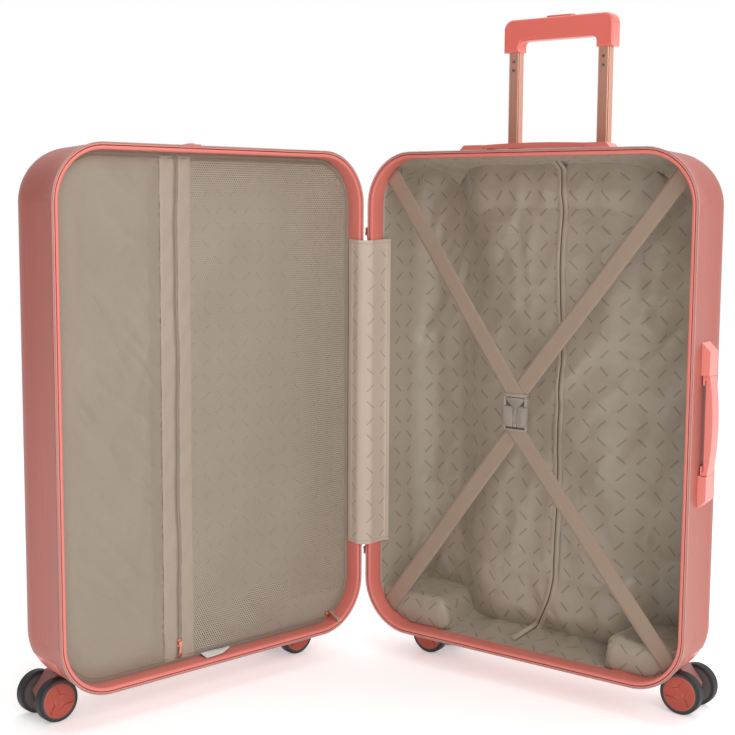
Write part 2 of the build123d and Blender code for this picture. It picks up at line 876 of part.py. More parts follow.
# Cloth flap that hangs over the hinge side, from the lid's band to the main half's band
def make_flap():
    inner_u = hinge_gap + flange_inner
    outer_u = inner_u + flap_cloth
    corners = (
        main.point(inner_u, flap_reach, 0),
        main.point(inner_u, -flap_front, 0),
        lid.point(inner_u, -flap_front, 0),
        lid.point(inner_u, flap_lid_reach, 0),
        lid.point(outer_u, flap_lid_reach, 0),
        lid.point(outer_u, -flap_front - flap_cloth / 2, 0),
        main.point(outer_u, -flap_front - flap_cloth / 2, 0),
        main.point(outer_u, flap_reach, 0),
    )
    with BuildPart() as flap:
        with BuildSketch(Plane.XY.offset(z_mid - flap_height / 2)):
            with BuildLine():
                Polyline(*[(c.X, c.Y) for c in corners], close=True)
            make_face()
        extrude(amount=flap_height)
    save(flap.part, "hinge_flap")


# Sliders of the main zip, parked at the two hinge ends of the coil
def make_rim_sliders():
    outer = hinge_gap - coil_proud
    inner = slider_inset - outer
    half_length = slider_length / 2
    with BuildPart() as sliders:
        for z, way in ((z_mid + parked_reach, -1), (z_mid - parked_reach, 1)):
            ends = (z - half_length, z + half_length)
            add(block(main, inner, outer, -slider_front, parked_depth, *ends))
            pull_ends = sorted((z + way * half_length, z + way * (half_length + parked_pull)))
            pull_back = pull_width - slider_front
            add(block(main, inner, inner + pull_thick, -slider_front, pull_back, *pull_ends))
    save(sliders.part, "rim_zip_sliders")


# Combination lock on the top wall of the lid: three dials on a spindle and a sliding latch
dial_centre = lock_proud + dial_proud - dial_radius
dial_places = (-dial_pitch, 0.0, dial_pitch)
pocket_width = 2 * dial_radius + 2 * slide_clearance
pocket_length = 2 * dial_pitch + dial_thick + 2 * slide_clearance


def lock_plane(height):
    return top_plane(lid, lock_u, lock_centre_depth).offset(height)


def lock_rod_plane(place):
    """Plane across the spindle at a place along the lock."""
    flat = lock_plane(dial_centre)
    return Plane(flat.origin + flat.y_dir * place, x_dir=flat.x_dir, z_dir=flat.y_dir)


def lock_pocket(low, high):
    with BuildPart() as pocket:
        with BuildSketch(lock_plane(low)):
            Rectangle(pocket_width, pocket_length)
        extrude(amount=high - low)
    return pocket.part


def make_lock():
    with BuildPart() as body:
        with BuildSketch(lock_plane(0.0)):
            RectangleRounded(lock_width, lock_depth, lock_corner)
        extrude(amount=lock_proud)
        top_face = body.faces().sort_by_distance(lock_plane(lock_proud).origin)[0]
        fillet(top_face.edges(), lock_edge)
        add(lock_pocket(-cut_margin, lock_proud + cut_margin), mode=Mode.SUBTRACT)
        with BuildSketch(lock_rod_plane(-pocket_length / 2)):
            Circle(spindle_radius)
        extrude(amount=pocket_length)
    save(body.part, "lock_body")
    for number, place in enumerate(dial_places, start=1):
        with BuildPart() as dial:
            with BuildSketch(lock_rod_plane(place - dial_thick / 2)):
                RegularPolygon(dial_radius, dial_sides)
                Circle(spindle_radius + running_clearance, mode=Mode.SUBTRACT)
            extrude(amount=dial_thick)
        save(dial.part, f"lock_dial_{number}")
    with BuildPart() as latch:
        with BuildSketch(lock_plane(lock_proud)):
            with Locations((0, latch_place)):
                RectangleRounded(latch_width, latch_length, latch_thick)
        extrude(amount=latch_thick)
    save(latch.part, "lock_latch")


for half in (main, lid):
    make_shell(half)
    make_rim(half)
    make_lining(half)
    make_housings(half)
    make_caster(half, "hinge_side", stem_us[0])
    make_caster(half, "free_side", stem_us[1])
make_trolley()
make_grip()
make_carry_handle("top_handle", top_plane(main, u_mid, handle_depth), top_handle_length, top_bow)
make_carry_handle("side_handle", side_plane_at(main, handle_depth, z_mid), side_handle_length, side_bow)
make_straps()
make_divider()
make_flap()
make_rim_sliders()
make_lock()
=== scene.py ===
import bmesh
import bpy
import json
import math
from mathutils import Matrix, Vector, noise


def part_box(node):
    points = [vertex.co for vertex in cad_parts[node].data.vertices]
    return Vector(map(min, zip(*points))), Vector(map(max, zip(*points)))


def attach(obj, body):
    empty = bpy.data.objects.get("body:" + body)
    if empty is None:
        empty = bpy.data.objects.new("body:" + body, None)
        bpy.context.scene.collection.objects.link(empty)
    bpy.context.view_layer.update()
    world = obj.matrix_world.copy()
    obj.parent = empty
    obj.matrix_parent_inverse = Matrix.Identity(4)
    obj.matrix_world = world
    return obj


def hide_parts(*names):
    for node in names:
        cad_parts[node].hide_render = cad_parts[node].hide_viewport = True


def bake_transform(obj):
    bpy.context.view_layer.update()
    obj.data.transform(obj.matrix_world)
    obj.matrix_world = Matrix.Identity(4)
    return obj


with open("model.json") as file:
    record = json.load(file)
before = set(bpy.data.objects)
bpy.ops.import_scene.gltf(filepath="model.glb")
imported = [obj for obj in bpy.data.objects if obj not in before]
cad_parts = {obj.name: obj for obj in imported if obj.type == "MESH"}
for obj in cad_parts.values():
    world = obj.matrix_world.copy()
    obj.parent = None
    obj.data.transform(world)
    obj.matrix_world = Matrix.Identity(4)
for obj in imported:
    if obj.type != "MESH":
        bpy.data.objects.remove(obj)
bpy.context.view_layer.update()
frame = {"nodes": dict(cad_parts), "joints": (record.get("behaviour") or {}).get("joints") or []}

mm = 0.001

# Studio: a pale paper floor under a white surround that is dimmer at the front, with a big soft
# light at the front right, a weaker one in front and one overhead. The camera looks into the
# opened case from the front.
hinge_joint = next(joint for joint in frame["joints"] if joint["name"] == "lid_hinge")
hinge = Vector(hinge_joint["pos_m"])
camera_place = hinge + Vector((1.2526, -1.5908, 0.6671))
camera_turn = math.radians(38.10)
camera_drop = math.radians(6.66)
camera_roll = math.radians(0.37)
camera_lens = 67.88
floor_size = 12.0

sight = Vector((
    -math.sin(camera_turn) * math.cos(camera_drop),
    math.cos(camera_turn) * math.cos(camera_drop),
    -math.sin(camera_drop),
))
level = sight.cross(Vector((0, 0, 1))).normalized()
upright = level.cross(sight)
camera_right = level * math.cos(camera_roll) + upright * math.sin(camera_roll)
camera_up = upright * math.cos(camera_roll) - level * math.sin(camera_roll)
camera_data = bpy.data.cameras.new("studio_camera")
camera_data.lens = camera_lens
camera_data.clip_end = 50.0
camera = bpy.data.objects.new("studio_camera", camera_data)
camera.matrix_world = Matrix.Translation(camera_place) @ Matrix(
    (camera_right, camera_up, -sight)
).transposed().to_4x4()
bpy.context.scene.collection.objects.link(camera)
bpy.context.scene.camera = camera
bpy.context.scene.view_settings.view_transform = "Standard"

world = bpy.data.worlds.new("white_surround")
bpy.context.scene.world = world
world.use_nodes = True
surround = world.node_tree
facing = surround.nodes.new("ShaderNodeSeparateXYZ")
surround.links.new(surround.nodes.new("ShaderNodeTexCoord").outputs["Generated"], facing.inputs[0])
dimmer = surround.nodes.new("ShaderNodeMapRange")
dimmer.inputs["From Min"].default_value = -0.75
dimmer.inputs["From Max"].default_value = 0.25
dimmer.inputs["To Min"].default_value = 0.10
dimmer.inputs["To Max"].default_value = 1.0
surround.links.new(facing.outputs["Y"], dimmer.inputs["Value"])
surround.links.new(dimmer.outputs[0], surround.nodes["Background"].inputs["Strength"])
surround.nodes["Background"].inputs["Color"].default_value = (1.0, 1.0, 1.0, 1.0)


def softbox(name, place, aim, size, power):
    data = bpy.data.lights.new(name, "AREA")
    data.shape = "SQUARE"
    data.size = size
    data.energy = power
    lamp = bpy.data.objects.new(name, data)
    lamp.location = place
    lamp.rotation_mode = "QUATERNION"
    lamp.rotation_quaternion = (Vector(aim) - Vector(place)).to_track_quat("-Z", "Y")
    bpy.context.scene.collection.objects.link(lamp)


softbox("key_light", (2.5, -1.2, 2.0), (0.1, 0.1, 0.4), 1.6, 32.0)
softbox("fill_light", (1.7, -2.1, 1.5), (0.2, 0.2, 0.35), 1.2, 17.0)
softbox("top_light", (0.0, 0.2, 3.0), (0.0, 0.0, 0.3), 2.0, 16.0)

floor_bm = bmesh.new()
bmesh.ops.create_grid(floor_bm, x_segments=1, y_segments=1, size=floor_size / 2)
floor_mesh = bpy.data.meshes.new("studio_floor")
floor_bm.to_mesh(floor_mesh)
floor_bm.free()
paper = bpy.data.materials.new("studio_paper")
paper.use_nodes = True
paper_face = paper.node_tree.nodes["Principled BSDF"].inputs
paper_face["Base Color"].default_value = (0.93, 0.93, 0.93, 1)
paper_face["Roughness"].default_value = 0.9
paper_face["Emission Color"].default_value = (1, 1, 1, 1)
paper_face["Emission Strength"].default_value = 0.34
floor_mesh.materials.append(paper)
studio_floor = bpy.data.objects.new("studio_floor", floor_mesh)
bpy.context.scene.collection.objects.link(studio_floor)


# Shells: two thermoformed polycarbonate halves, dusty rose all through, with a satin face that
# is brushed up and down. They keep their own meshes, and so do the wheel housings below them.
def node(tree, kind, inputs=None, **settings):
    """Adds a shader node. Each input is a plain value or another node's output."""
    made = tree.nodes.new(kind)
    for key, value in settings.items():
        setattr(made, key, value)
    for key, value in (inputs or {}).items():
        if isinstance(value, bpy.types.NodeSocket):
            tree.links.new(value, made.inputs[key])
        else:
            made.inputs[key].default_value = value
    return made


def maths(tree, operation, first, second=0.0, third=0.0):
    made = node(tree, "ShaderNodeMath", {0: first, 1: second, 2: third}, operation=operation)
    return made.outputs[0]


def new_group(name, inputs, outputs):
    """A shader group with its sockets, and the two nodes that stand for them inside."""
    group = bpy.data.node_groups.new(name, "ShaderNodeTree")
    for label, kind in inputs:
        group.interface.new_socket(label, in_out="INPUT", socket_type="NodeSocket" + kind)
    for label, kind in outputs:
        group.interface.new_socket(label, in_out="OUTPUT", socket_type="NodeSocket" + kind)
    return group, node(group, "NodeGroupInput").outputs, node(group, "NodeGroupOutput").inputs


def mixed(tree, share, first, second):
    """Colour between two colours, by a share."""
    blender = node(tree, "ShaderNodeMix", {"Factor": share}, data_type="RGBA")
    for key, value in ((6, first), (7, second)):
        if isinstance(value, bpy.types.NodeSocket):
            tree.links.new(value, blender.inputs[key])
        else:
            blender.inputs[key].default_value = value
    return blender.outputs[2]


grain_group, given, given_out = new_group(
    "moulded_grain",
    [("Base", "Color"), ("Shade", "Color"), ("Stretch", "Vector"), ("Wear", "Float")],
    [("Colour", "Color"), ("Height", "Float"), ("Worn", "Float")],
)
place = node(grain_group, "ShaderNodeTexCoord").outputs["Object"]
stretched = node(
    grain_group, "ShaderNodeVectorMath", {0: place, 1: given["Stretch"]}, operation="MULTIPLY"
).outputs[0]
fine = node(grain_group, "ShaderNodeTexNoise", {"Vector": stretched, "Scale": 1.0, "Detail": 5.0})
broad = node(grain_group, "ShaderNodeTexNoise", {"Vector": place, "Scale": 7.0, "Detail": 2.0})
both = maths(grain_group, "MULTIPLY_ADD", fine.outputs[0], 0.7, 0.0)
both = maths(grain_group, "MULTIPLY_ADD", broad.outputs[0], 0.3, both)
toned = mixed(grain_group, both, given["Base"], given["Shade"])
edge = node(grain_group, "ShaderNodeNewGeometry").outputs["Pointiness"]
worn = node(
    grain_group, "ShaderNodeMapRange", {"Value": edge, "From Min": 0.53, "From Max": 0.62}
).outputs[0]
worn = maths(grain_group, "MULTIPLY", worn, given["Wear"])
pale = mixed(grain_group, 0.45, toned, (1.0, 0.9, 0.85, 1.0))
grain_group.links.new(mixed(grain_group, worn, toned, pale), given_out["Colour"])
grain_group.links.new(fine.outputs[0], given_out["Height"])
grain_group.links.new(worn, given_out["Worn"])


def new_finish(name):
    material = bpy.data.materials.new(name)
    material.use_nodes = True
    return material, material.node_tree, material.node_tree.nodes["Principled BSDF"]


def moulded(name, base, shade, roughness, stretch, bump, metallic=0.0, wear=0.4, coat=0.0):
    """Plastic, rubber or metal: a fine grain in colour, gloss and relief."""
    material, tree, shader = new_finish(name)
    grain = node(tree, "ShaderNodeGroup", node_tree=grain_group)
    grain.inputs["Base"].default_value = (*base, 1.0)
    grain.inputs["Shade"].default_value = (*shade, 1.0)
    grain.inputs["Stretch"].default_value = stretch
    grain.inputs["Wear"].default_value = wear
    tree.links.new(grain.outputs["Colour"], shader.inputs["Base Color"])
    gloss = node(
        tree,
        "ShaderNodeMapRange",
        {"Value": grain.outputs["Height"], "To Min": roughness - 0.06, "To Max": roughness + 0.08},
    )
    tree.links.new(gloss.outputs[0], shader.inputs["Roughness"])
    relief = node(
        tree, "ShaderNodeBump", {"Height": grain.outputs["Height"], "Distance": bump, "Strength": 0.6}
    )
    tree.links.new(relief.outputs[0], shader.inputs["Normal"])
    shader.inputs["Metallic"].default_value = metallic
    shader.inputs["Coat Weight"].default_value = coat
    shader.inputs["Coat Roughness"].default_value = 0.2
    return material


def dress(finish, *names):
    """Gives a finish to CAD nodes that are shown as they are."""
    for name in names:
        materials = frame["nodes"][name].data.materials
        materials.clear()
        materials.append(finish)


brushed = (900.0, 900.0, 9.0)
shell_rose = moulded(
    "shell_brushed_rose", (0.50, 0.135, 0.100), (0.39, 0.094, 0.068), 0.44, brushed, 0.00012,
    metallic=0.25, wear=0.25,
)
dress(shell_rose, "main_shell", "lid_shell")

# Rim frames: coral plastic profiles that clip on the edge of each shell, with a groove in the
# face, a rolled inner corner and a deep inner band. They run round the case in one length.
lid_turn = -math.radians(hinge_joint["range_deg"][1])
half_frames = {
    "main": Matrix(((1, 0, 0, 0), (0, 0, -1, 0), (0, 1, 0, 0), (0, 0, 0, 1))),
    "lid": Matrix((
        (math.cos(lid_turn), 0, -math.sin(lid_turn), 0),
        (math.sin(lid_turn), 0, math.cos(lid_turn), 0),
        (0, 1, 0, 0),
        (0, 0, 0, 1),
    )),
}
bodies = {"main": "main_half", "lid": "lid"}


def box_in(half, name):
    """Lowest and highest corner of a CAD node in a half's frame: x from the hinge line,
    y up, and z out of the opening."""
    back = (Matrix.Translation(hinge) @ half_frames[half]).inverted()
    places = [back @ vertex.co for vertex in frame["nodes"][name].data.vertices]
    lows = Vector([min(place[axis] for place in places) for axis in range(3)])
    highs = Vector([max(place[axis] for place in places) for axis in range(3)])
    return lows, highs


def lay(bm, half):
    """Turns a mesh made in a half's frame into the case's frame. The lid's is a mirror image."""
    bm.transform(Matrix.Translation(hinge) @ half_frames[half])
    if half == "lid":
        bmesh.ops.reverse_faces(bm, faces=bm.faces[:])


def piece(name, bm, finish, body=None, stands_for=(), sharp=35.0):
    """Makes the object of a finished mesh, smooth but for its real corners."""
    mesh = bpy.data.meshes.new(name)
    bm.to_mesh(mesh)
    bm.free()
    mesh.materials.append(finish)
    mesh.shade_smooth()
    mesh.set_sharp_from_angle(angle=math.radians(sharp))
    made = bpy.data.objects.new(name, mesh)
    bpy.context.scene.collection.objects.link(made)
    if body:
        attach(made, body)
    if stands_for:
        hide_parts(*stands_for)
    return made


flange_lip = 0.2 * mm
corner_radius = 75.0 * mm
corner_steps = 14
flange_low, flange_high = box_in("main", "main_rim_frame")
rim_left = flange_low.x - flange_lip
rim_right = flange_high.x + flange_lip
rim_bottom = flange_low.y - flange_lip
rim_top = flange_high.y + flange_lip
rim_middle = ((rim_left + rim_right) / 2, (rim_bottom + rim_top) / 2)


def new_parts(geometry, kind):
    return [item for item in geometry if isinstance(item, kind)]


def sweep_rim(profile, bm=None):
    """Carries a profile of (inset, depth) points in millimetres once round the rim line."""
    bm = bm or bmesh.new()
    left, right = rim_left + corner_radius, rim_right - corner_radius
    low, high = rim_bottom + corner_radius, rim_top - corner_radius
    verts = [bm.verts.new((left, rim_bottom + e * mm, -d * mm)) for e, d in profile]
    edges = [bm.edges.new(pair) for pair in zip(verts, verts[1:] + verts[:1])]
    first = list(verts)
    runs = ((right - left, 0), (0, high - low), (left - right, 0), (0, low - high))
    centres = ((right, low), (right, high), (left, high), (left, low))
    for run, centre in zip(runs, centres):
        made = bmesh.ops.extrude_edge_only(bm, edges=edges)["geom"]
        verts = new_parts(made, bmesh.types.BMVert)
        bmesh.ops.translate(bm, verts=verts, vec=(*run, 0))
        edges = new_parts(made, bmesh.types.BMEdge)
        turned = bmesh.ops.spin(
            bm, geom=verts + edges, cent=(*centre, 0), axis=(0, 0, 1), angle=math.pi / 2,
            steps=corner_steps,
        )["geom_last"]
        verts = new_parts(turned, bmesh.types.BMVert)
        edges = new_parts(turned, bmesh.types.BMEdge)
    bmesh.ops.remove_doubles(bm, verts=verts + first, dist=0.02 * mm)
    bmesh.ops.recalc_face_normals(bm, faces=bm.faces[:])
    return bm


rim_profile = (
    (0.7, 3.95), (0.3, 3.7), (0.2, 3.2), (0.4, 2.6), (0.9, 2.35), (1.9, 2.3), (1.9, 1.2), (2.1, 0.7),
    (2.6, 0.5), (3.1, 0.6), (3.3, 0.9), (3.3, 2.2), (4.4, 2.2), (4.4, 0.9), (4.7, 0.6), (5.4, 0.5),
    (7.2, 0.55), (8.2, 0.9), (8.8, 1.6), (9.0, 2.6), (9.0, 26.2), (8.8, 26.8), (8.3, 27.0),
    (6.9, 27.0), (6.5, 26.6), (6.5, 6.4), (6.1, 6.0), (2.3, 6.0), (2.0, 5.7), (2.0, 4.3), (1.6, 4.0),
)
coral_plastic = moulded(
    "coral_frame_plastic", (0.78, 0.225, 0.185), (0.70, 0.175, 0.142), 0.36, (420.0, 420.0, 420.0),
    0.00005, wear=0.35, coat=0.15,
)
# A dark red strip laid in the floor of the face groove is painted shade of the groove.
groove_shadow_profile = ((3.25, 2.15), (3.25, 1.55), (4.45, 1.55), (4.45, 2.15))
groove_shade_paint = moulded(
    "groove_painted_shadow", (0.13, 0.022, 0.016), (0.08, 0.014, 0.010), 0.6, (700.0, 700.0, 700.0),
    0.00004, wear=0.0,
)
for half in ("main", "lid"):
    rim_bm = sweep_rim(rim_profile)
    lay(rim_bm, half)
    piece(
        f"{half}_rim_profile", rim_bm, coral_plastic, bodies[half],
        (f"{half}_rim_frame",), sharp=50,
    )
    groove_bm = sweep_rim(groove_shadow_profile)
    lay(groove_bm, half)
    piece(f"{half}_rim_groove_shadow", groove_bm, groove_shade_paint, bodies[half])

# Main zip: one half of a nylon coil on each rim, sewn on a pinkish tape that stands out at the
# edge. Its turns are 1.7 mm apart and run all the way round.
coil_pitch = 1.7 * mm
path_steps = 24


def path_through(points, closed):
    """Curve object through flat points, for pieces that repeat along it."""
    curve = bpy.data.curves.new("path", "CURVE")
    curve.dimensions = "2D"
    spline = curve.splines.new("POLY")
    spline.points.add(len(points) - 1)
    for spot, (x, y) in zip(spline.points, points):
        spot.co = (x, y, 0, 1)
    spline.use_cyclic_u = closed
    path = bpy.data.objects.new("path", curve)
    bpy.context.scene.collection.objects.link(path)
    return path


def ring_path(inset, depth):
    """Closed path round the rim line, with its length and its place out of the opening."""
    radius = corner_radius - inset
    centres = (
        (rim_right - corner_radius, rim_bottom + corner_radius, -90),
        (rim_right - corner_radius, rim_top - corner_radius, 0),
        (rim_left + corner_radius, rim_top - corner_radius, 90),
        (rim_left + corner_radius, rim_bottom + corner_radius, 180),
    )
    length = 2 * math.pi * radius
    length += 2 * (rim_right - rim_left + rim_top - rim_bottom) - 8 * corner_radius
    points = []
    for x, y, start in centres:
        for step in range(path_steps + 1):
            angle = math.radians(start + 90.0 * step / path_steps)
            points.append((x + radius * math.cos(angle), y + radius * math.sin(angle)))
    return path_through(points, True), length, -depth


def line_path(start, end):
    return path_through([start, end], False), math.dist(start, end), 0.0


def worked_mesh(worked):
    """A new mesh of an object with its modifiers worked in."""
    depsgraph = bpy.context.evaluated_depsgraph_get()
    return bpy.data.meshes.new_from_object(worked.evaluated_get(depsgraph))


def repeat_along(tooth, path, length, rise, pitch):
    """Repeats a small mesh along a path and gives back the whole row as one mesh."""
    mesh = bpy.data.meshes.new("row")
    tooth.to_mesh(mesh)
    row = bpy.data.objects.new("row", mesh)
    bpy.context.scene.collection.objects.link(row)
    array = row.modifiers.new("repeat", "ARRAY")
    count = round(length / pitch)
    array.count = count
    array.use_relative_offset = False
    array.use_constant_offset = True
    array.constant_offset_displace = (length / count, 0, 0)
    bend = row.modifiers.new("bend", "CURVE")
    bend.object = path
    bend.deform_axis = "POS_X"
    bm = bmesh.new()
    bm.from_mesh(worked_mesh(row))
    bmesh.ops.translate(bm, verts=bm.verts[:], vec=(0, 0, rise))
    for spent in (row, path):
        bpy.data.objects.remove(spent)
    return bm


def coil_turn(width, thick, pitch):
    """One turn of a zip coil: a small loop that leans a little, rounded at its ends."""
    bm = bmesh.new()
    bmesh.ops.create_cube(bm, size=1.0)
    bmesh.ops.scale(bm, verts=bm.verts[:], vec=(pitch * 0.62, width, thick))
    bmesh.ops.translate(bm, verts=bm.verts[:], vec=(pitch / 2, 0, 0))
    bmesh.ops.bevel(
        bm, geom=bm.edges[:], offset=min(pitch * 0.25, thick * 0.35), segments=1, affect="EDGES",
        profile=0.5, material=-1,
    )
    for vert in bm.verts:
        vert.co.x += vert.co.y * 0.25
    return bm


coil_nylon = moulded(
    "coil_nylon_pink", (0.52, 0.30, 0.26), (0.42, 0.22, 0.19), 0.45, (900.0, 900.0, 900.0), 0.00003,
    wear=0.3,
)
tape_profile = ((0.4, 1.7), (0.4, 2.15), (1.85, 2.15), (1.85, 0.9), (1.5, 0.9), (1.3, 1.5))
for half in ("main", "lid"):
    coil_bm = repeat_along(
        coil_turn(1.4 * mm, 1.5 * mm, coil_pitch), *ring_path(0.15 * mm, 1.2 * mm), coil_pitch
    )
    sweep_rim(tape_profile, bm=coil_bm)
    lay(coil_bm, half)
    piece(f"{half}_zip_teeth", coil_bm, coil_nylon, bodies[half], (f"{half}_zip_coil",))

# Linings: satin trays sewn from a back panel and side panels, glued behind the rim bands.
# The cloth is drawn over the trolley tubes and lies slack, so it folds and sags at the bottom.
lining_depth = 120.6 * mm
lining_mouth = (7.9 * mm, 27.3 * mm)
lining_bend = 44.0 * mm
wall_slope = math.tan(math.radians(3.0))
cloth_margin = 1.8 * mm
mouth_share = 0.62
lining_thick = 0.8 * mm
fold_seed = 5
drape_spread = 84.0 * mm

weave_group, given, given_out = new_group(
    "plain_weave", [("Threads", "Float")], [("Height", "Float"), ("Along", "Float")]
)
flat_place = node(weave_group, "ShaderNodeUVMap").outputs[0]
split = node(weave_group, "ShaderNodeSeparateXYZ", {0: flat_place})
warp = maths(weave_group, "MULTIPLY", split.outputs[0], given["Threads"])
weft = maths(weave_group, "MULTIPLY", split.outputs[1], given["Threads"])
warp_wave = maths(weave_group, "PINGPONG", warp, 1.0)
weft_wave = maths(weave_group, "PINGPONG", weft, 1.0)
over_under = maths(weave_group, "PINGPONG", maths(weave_group, "ADD", warp, weft), 1.0)
weave_group.links.new(
    maths(weave_group, "MULTIPLY_ADD", warp_wave, over_under, maths(weave_group, "MULTIPLY", weft_wave, 0.5)),
    given_out["Height"],
)
weave_group.links.new(warp_wave, given_out["Along"])

dash_group, given, given_out = new_group(
    "printed_dashes", [("Pitch", "Float"), ("Length", "Float"), ("Width", "Float")], [("Mask", "Float")]
)
flat_place = node(dash_group, "ShaderNodeUVMap").outputs[0]
split = node(dash_group, "ShaderNodeSeparateXYZ", {0: flat_place})
column = maths(dash_group, "DIVIDE", split.outputs[0], given["Pitch"])
row = maths(dash_group, "DIVIDE", split.outputs[1], given["Pitch"])
cells = maths(dash_group, "ADD", maths(dash_group, "FLOOR", column), maths(dash_group, "FLOOR", row))
way = maths(dash_group, "FLOORED_MODULO", cells, 2.0)
across = maths(dash_group, "SUBTRACT", maths(dash_group, "FRACT", column), 0.5)
upward = maths(dash_group, "SUBTRACT", maths(dash_group, "FRACT", row), 0.5)
rising = maths(dash_group, "ABSOLUTE", maths(dash_group, "ADD", across, upward))
falling = maths(dash_group, "ABSOLUTE", maths(dash_group, "SUBTRACT", across, upward))
swap = maths(dash_group, "SUBTRACT", rising, falling)
along_dash = maths(dash_group, "MULTIPLY_ADD", swap, way, falling)
across_dash = maths(dash_group, "SUBTRACT", maths(dash_group, "ADD", rising, falling), along_dash)
short_enough = maths(dash_group, "LESS_THAN", along_dash, given["Length"])
thin_enough = maths(dash_group, "LESS_THAN", across_dash, given["Width"])
dash_group.links.new(maths(dash_group, "MULTIPLY", short_enough, thin_enough), given_out["Mask"])


def cloth(name, base, shade, print_share=0.0, threads=1400.0, roughness=0.5, sheen=0.3):
    """Woven cloth with a soft change of tone and, where asked for, a tone-on-tone print."""
    material, tree, shader = new_finish(name)
    weave = node(tree, "ShaderNodeGroup", node_tree=weave_group)
    weave.inputs["Threads"].default_value = threads
    object_place = node(tree, "ShaderNodeTexCoord").outputs["Object"]
    patches = node(tree, "ShaderNodeTexNoise", {"Vector": object_place, "Scale": 9.0, "Detail": 4.0})
    colour = mixed(tree, patches.outputs[0], (*base, 1.0), (*shade, 1.0))
    threads_seen = maths(tree, "MULTIPLY", weave.outputs["Height"], 0.16)
    colour = mixed(tree, threads_seen, colour, (*[part * 0.6 for part in shade], 1.0))
    if print_share:
        dashes = node(tree, "ShaderNodeGroup", node_tree=dash_group)
        dashes.inputs["Pitch"].default_value = 24.0 * mm
        dashes.inputs["Length"].default_value = 0.46
        dashes.inputs["Width"].default_value = 0.068
        printed = maths(tree, "MULTIPLY", dashes.outputs["Mask"], print_share)
        colour = mixed(tree, printed, colour, (*[part * 0.42 for part in shade], 1.0))
    tree.links.new(colour, shader.inputs["Base Color"])
    creases = node(
        tree, "ShaderNodeTexNoise",
        {"Vector": object_place, "Scale": 15.0, "Detail": 3.0, "Distortion": 1.6},
    )
    relief = node(
        tree, "ShaderNodeBump", {"Height": creases.outputs[0], "Distance": 0.0035, "Strength": 0.6}
    )
    woven = node(
        tree, "ShaderNodeBump",
        {"Height": weave.outputs["Height"], "Distance": 0.00005, "Strength": 0.5,
         "Normal": relief.outputs[0]},
    )
    tree.links.new(woven.outputs[0], shader.inputs["Normal"])
    shader.inputs["Roughness"].default_value = roughness
    shader.inputs["Sheen Weight"].default_value = sheen
    shader.inputs["Sheen Roughness"].default_value = 0.4
    return material


lining_satin = cloth(
    "lining_satin", (0.42, 0.355, 0.275), (0.34, 0.285, 0.218), print_share=0.55, roughness=0.36,
    sheen=0.35,
)


def round_outline(half_wide, half_high, radius, across, upward):
    """Point of a rounded rectangle for a point on the edge of the unit square."""
    upright_side = abs(across) >= abs(upward)
    if not upright_side:
        half_wide, half_high, across, upward = half_high, half_wide, upward, across
    straight = half_high - radius
    run = abs(upward) * (straight + radius * math.pi / 4)
    turn = max(run - straight, 0.0) / radius
    x = half_wide - radius + radius * math.cos(turn)
    y = min(run, straight) + radius * math.sin(turn)
    x, y = math.copysign(x, across), math.copysign(y, upward)
    return (x, y) if upright_side else (y, x)


def drawn_over(x, y, low, high, height, spread):
    """How far cloth stands out where it is drawn over something hard behind it."""
    away = math.hypot(max(low[0] - x, 0, x - high[0]), max(low[1] - y, 0, y - high[1]))
    share = max(0.0, 1 - away / spread)
    return height * share * share * (3 - 2 * share)


def tray(columns, rows, hard):
    """Cloth tray in a half's frame; hard holds (low, high) boxes that it must clear."""
    bm = bmesh.new()
    bmesh.ops.create_grid(bm, x_segments=columns, y_segments=rows, size=1.0)
    half_wide = (rim_right - rim_left) / 2
    half_high = (rim_top - rim_bottom) / 2
    mouth_inset, mouth_depth = lining_mouth
    bend_depth = lining_depth - lining_bend
    bend_inset = mouth_inset + (bend_depth - mouth_depth) * wall_slope
    bend_run = lining_bend * math.pi / 2
    wall_run = bend_run + bend_depth - mouth_depth
    for vert in bm.verts:
        share = max(abs(vert.co.x), abs(vert.co.y), 1e-9)
        across, upward = vert.co.x / share, vert.co.y / share
        run = max(share - mouth_share, 0.0) / (1 - mouth_share) * wall_run
        turn = min(run / lining_bend, math.pi / 2)
        depth = lining_depth - lining_bend * (1 - math.cos(turn)) - max(run - bend_run, 0.0)
        inset = bend_inset + lining_bend * (1 - math.sin(turn))
        inset -= max(bend_depth - depth, 0.0) * wall_slope
        x, y = round_outline(
            half_wide - inset, half_high - inset, corner_radius - inset, across, upward
        )
        if share < mouth_share:
            x, y = x * share / mouth_share, y * share / mouth_share
        x, y = rim_middle[0] + x, rim_middle[1] + y
        rises = [
            drawn_over(x, y, low, high, lining_depth + high.z, drape_spread) for low, high in hard
        ]
        vert.co = (x, y, -min(depth, lining_depth - max([*rises, 0])))
    return bm


def panel_uv(bm):
    """Lays every face flat in metres on the panel that it would be cut from."""
    layer = bm.loops.layers.uv.verify()
    for face in bm.faces:
        normal = face.normal
        sizes = [abs(part) for part in normal]
        for loop in face.loops:
            place = loop.vert.co
            if sizes[2] >= 0.6 * max(sizes):
                loop[layer].uv = (place.x, place.y)
            elif sizes[0] >= sizes[1]:
                loop[layer].uv = (place.z, place.y)
            else:
                loop[layer].uv = (place.x, place.z)


def rim_inset(x, y):
    """How far a point stands in from the rim line, and the direction that leads further in."""
    half_wide, half_high = (rim_right - rim_left) / 2, (rim_top - rim_bottom) / 2
    off = Vector((x - rim_middle[0], y - rim_middle[1]))
    over_x = abs(off.x) - (half_wide - corner_radius)
    over_y = abs(off.y) - (half_high - corner_radius)
    if over_x > 0 and over_y > 0:
        reach = math.hypot(over_x, over_y)
        way = Vector((-math.copysign(over_x, off.x), -math.copysign(over_y, off.y))) / reach
        return corner_radius - reach, way
    if half_wide - abs(off.x) < half_high - abs(off.y):
        return half_wide - abs(off.x), Vector((-math.copysign(1, off.x), 0))
    return half_high - abs(off.y), Vector((0, -math.copysign(1, off.y)))


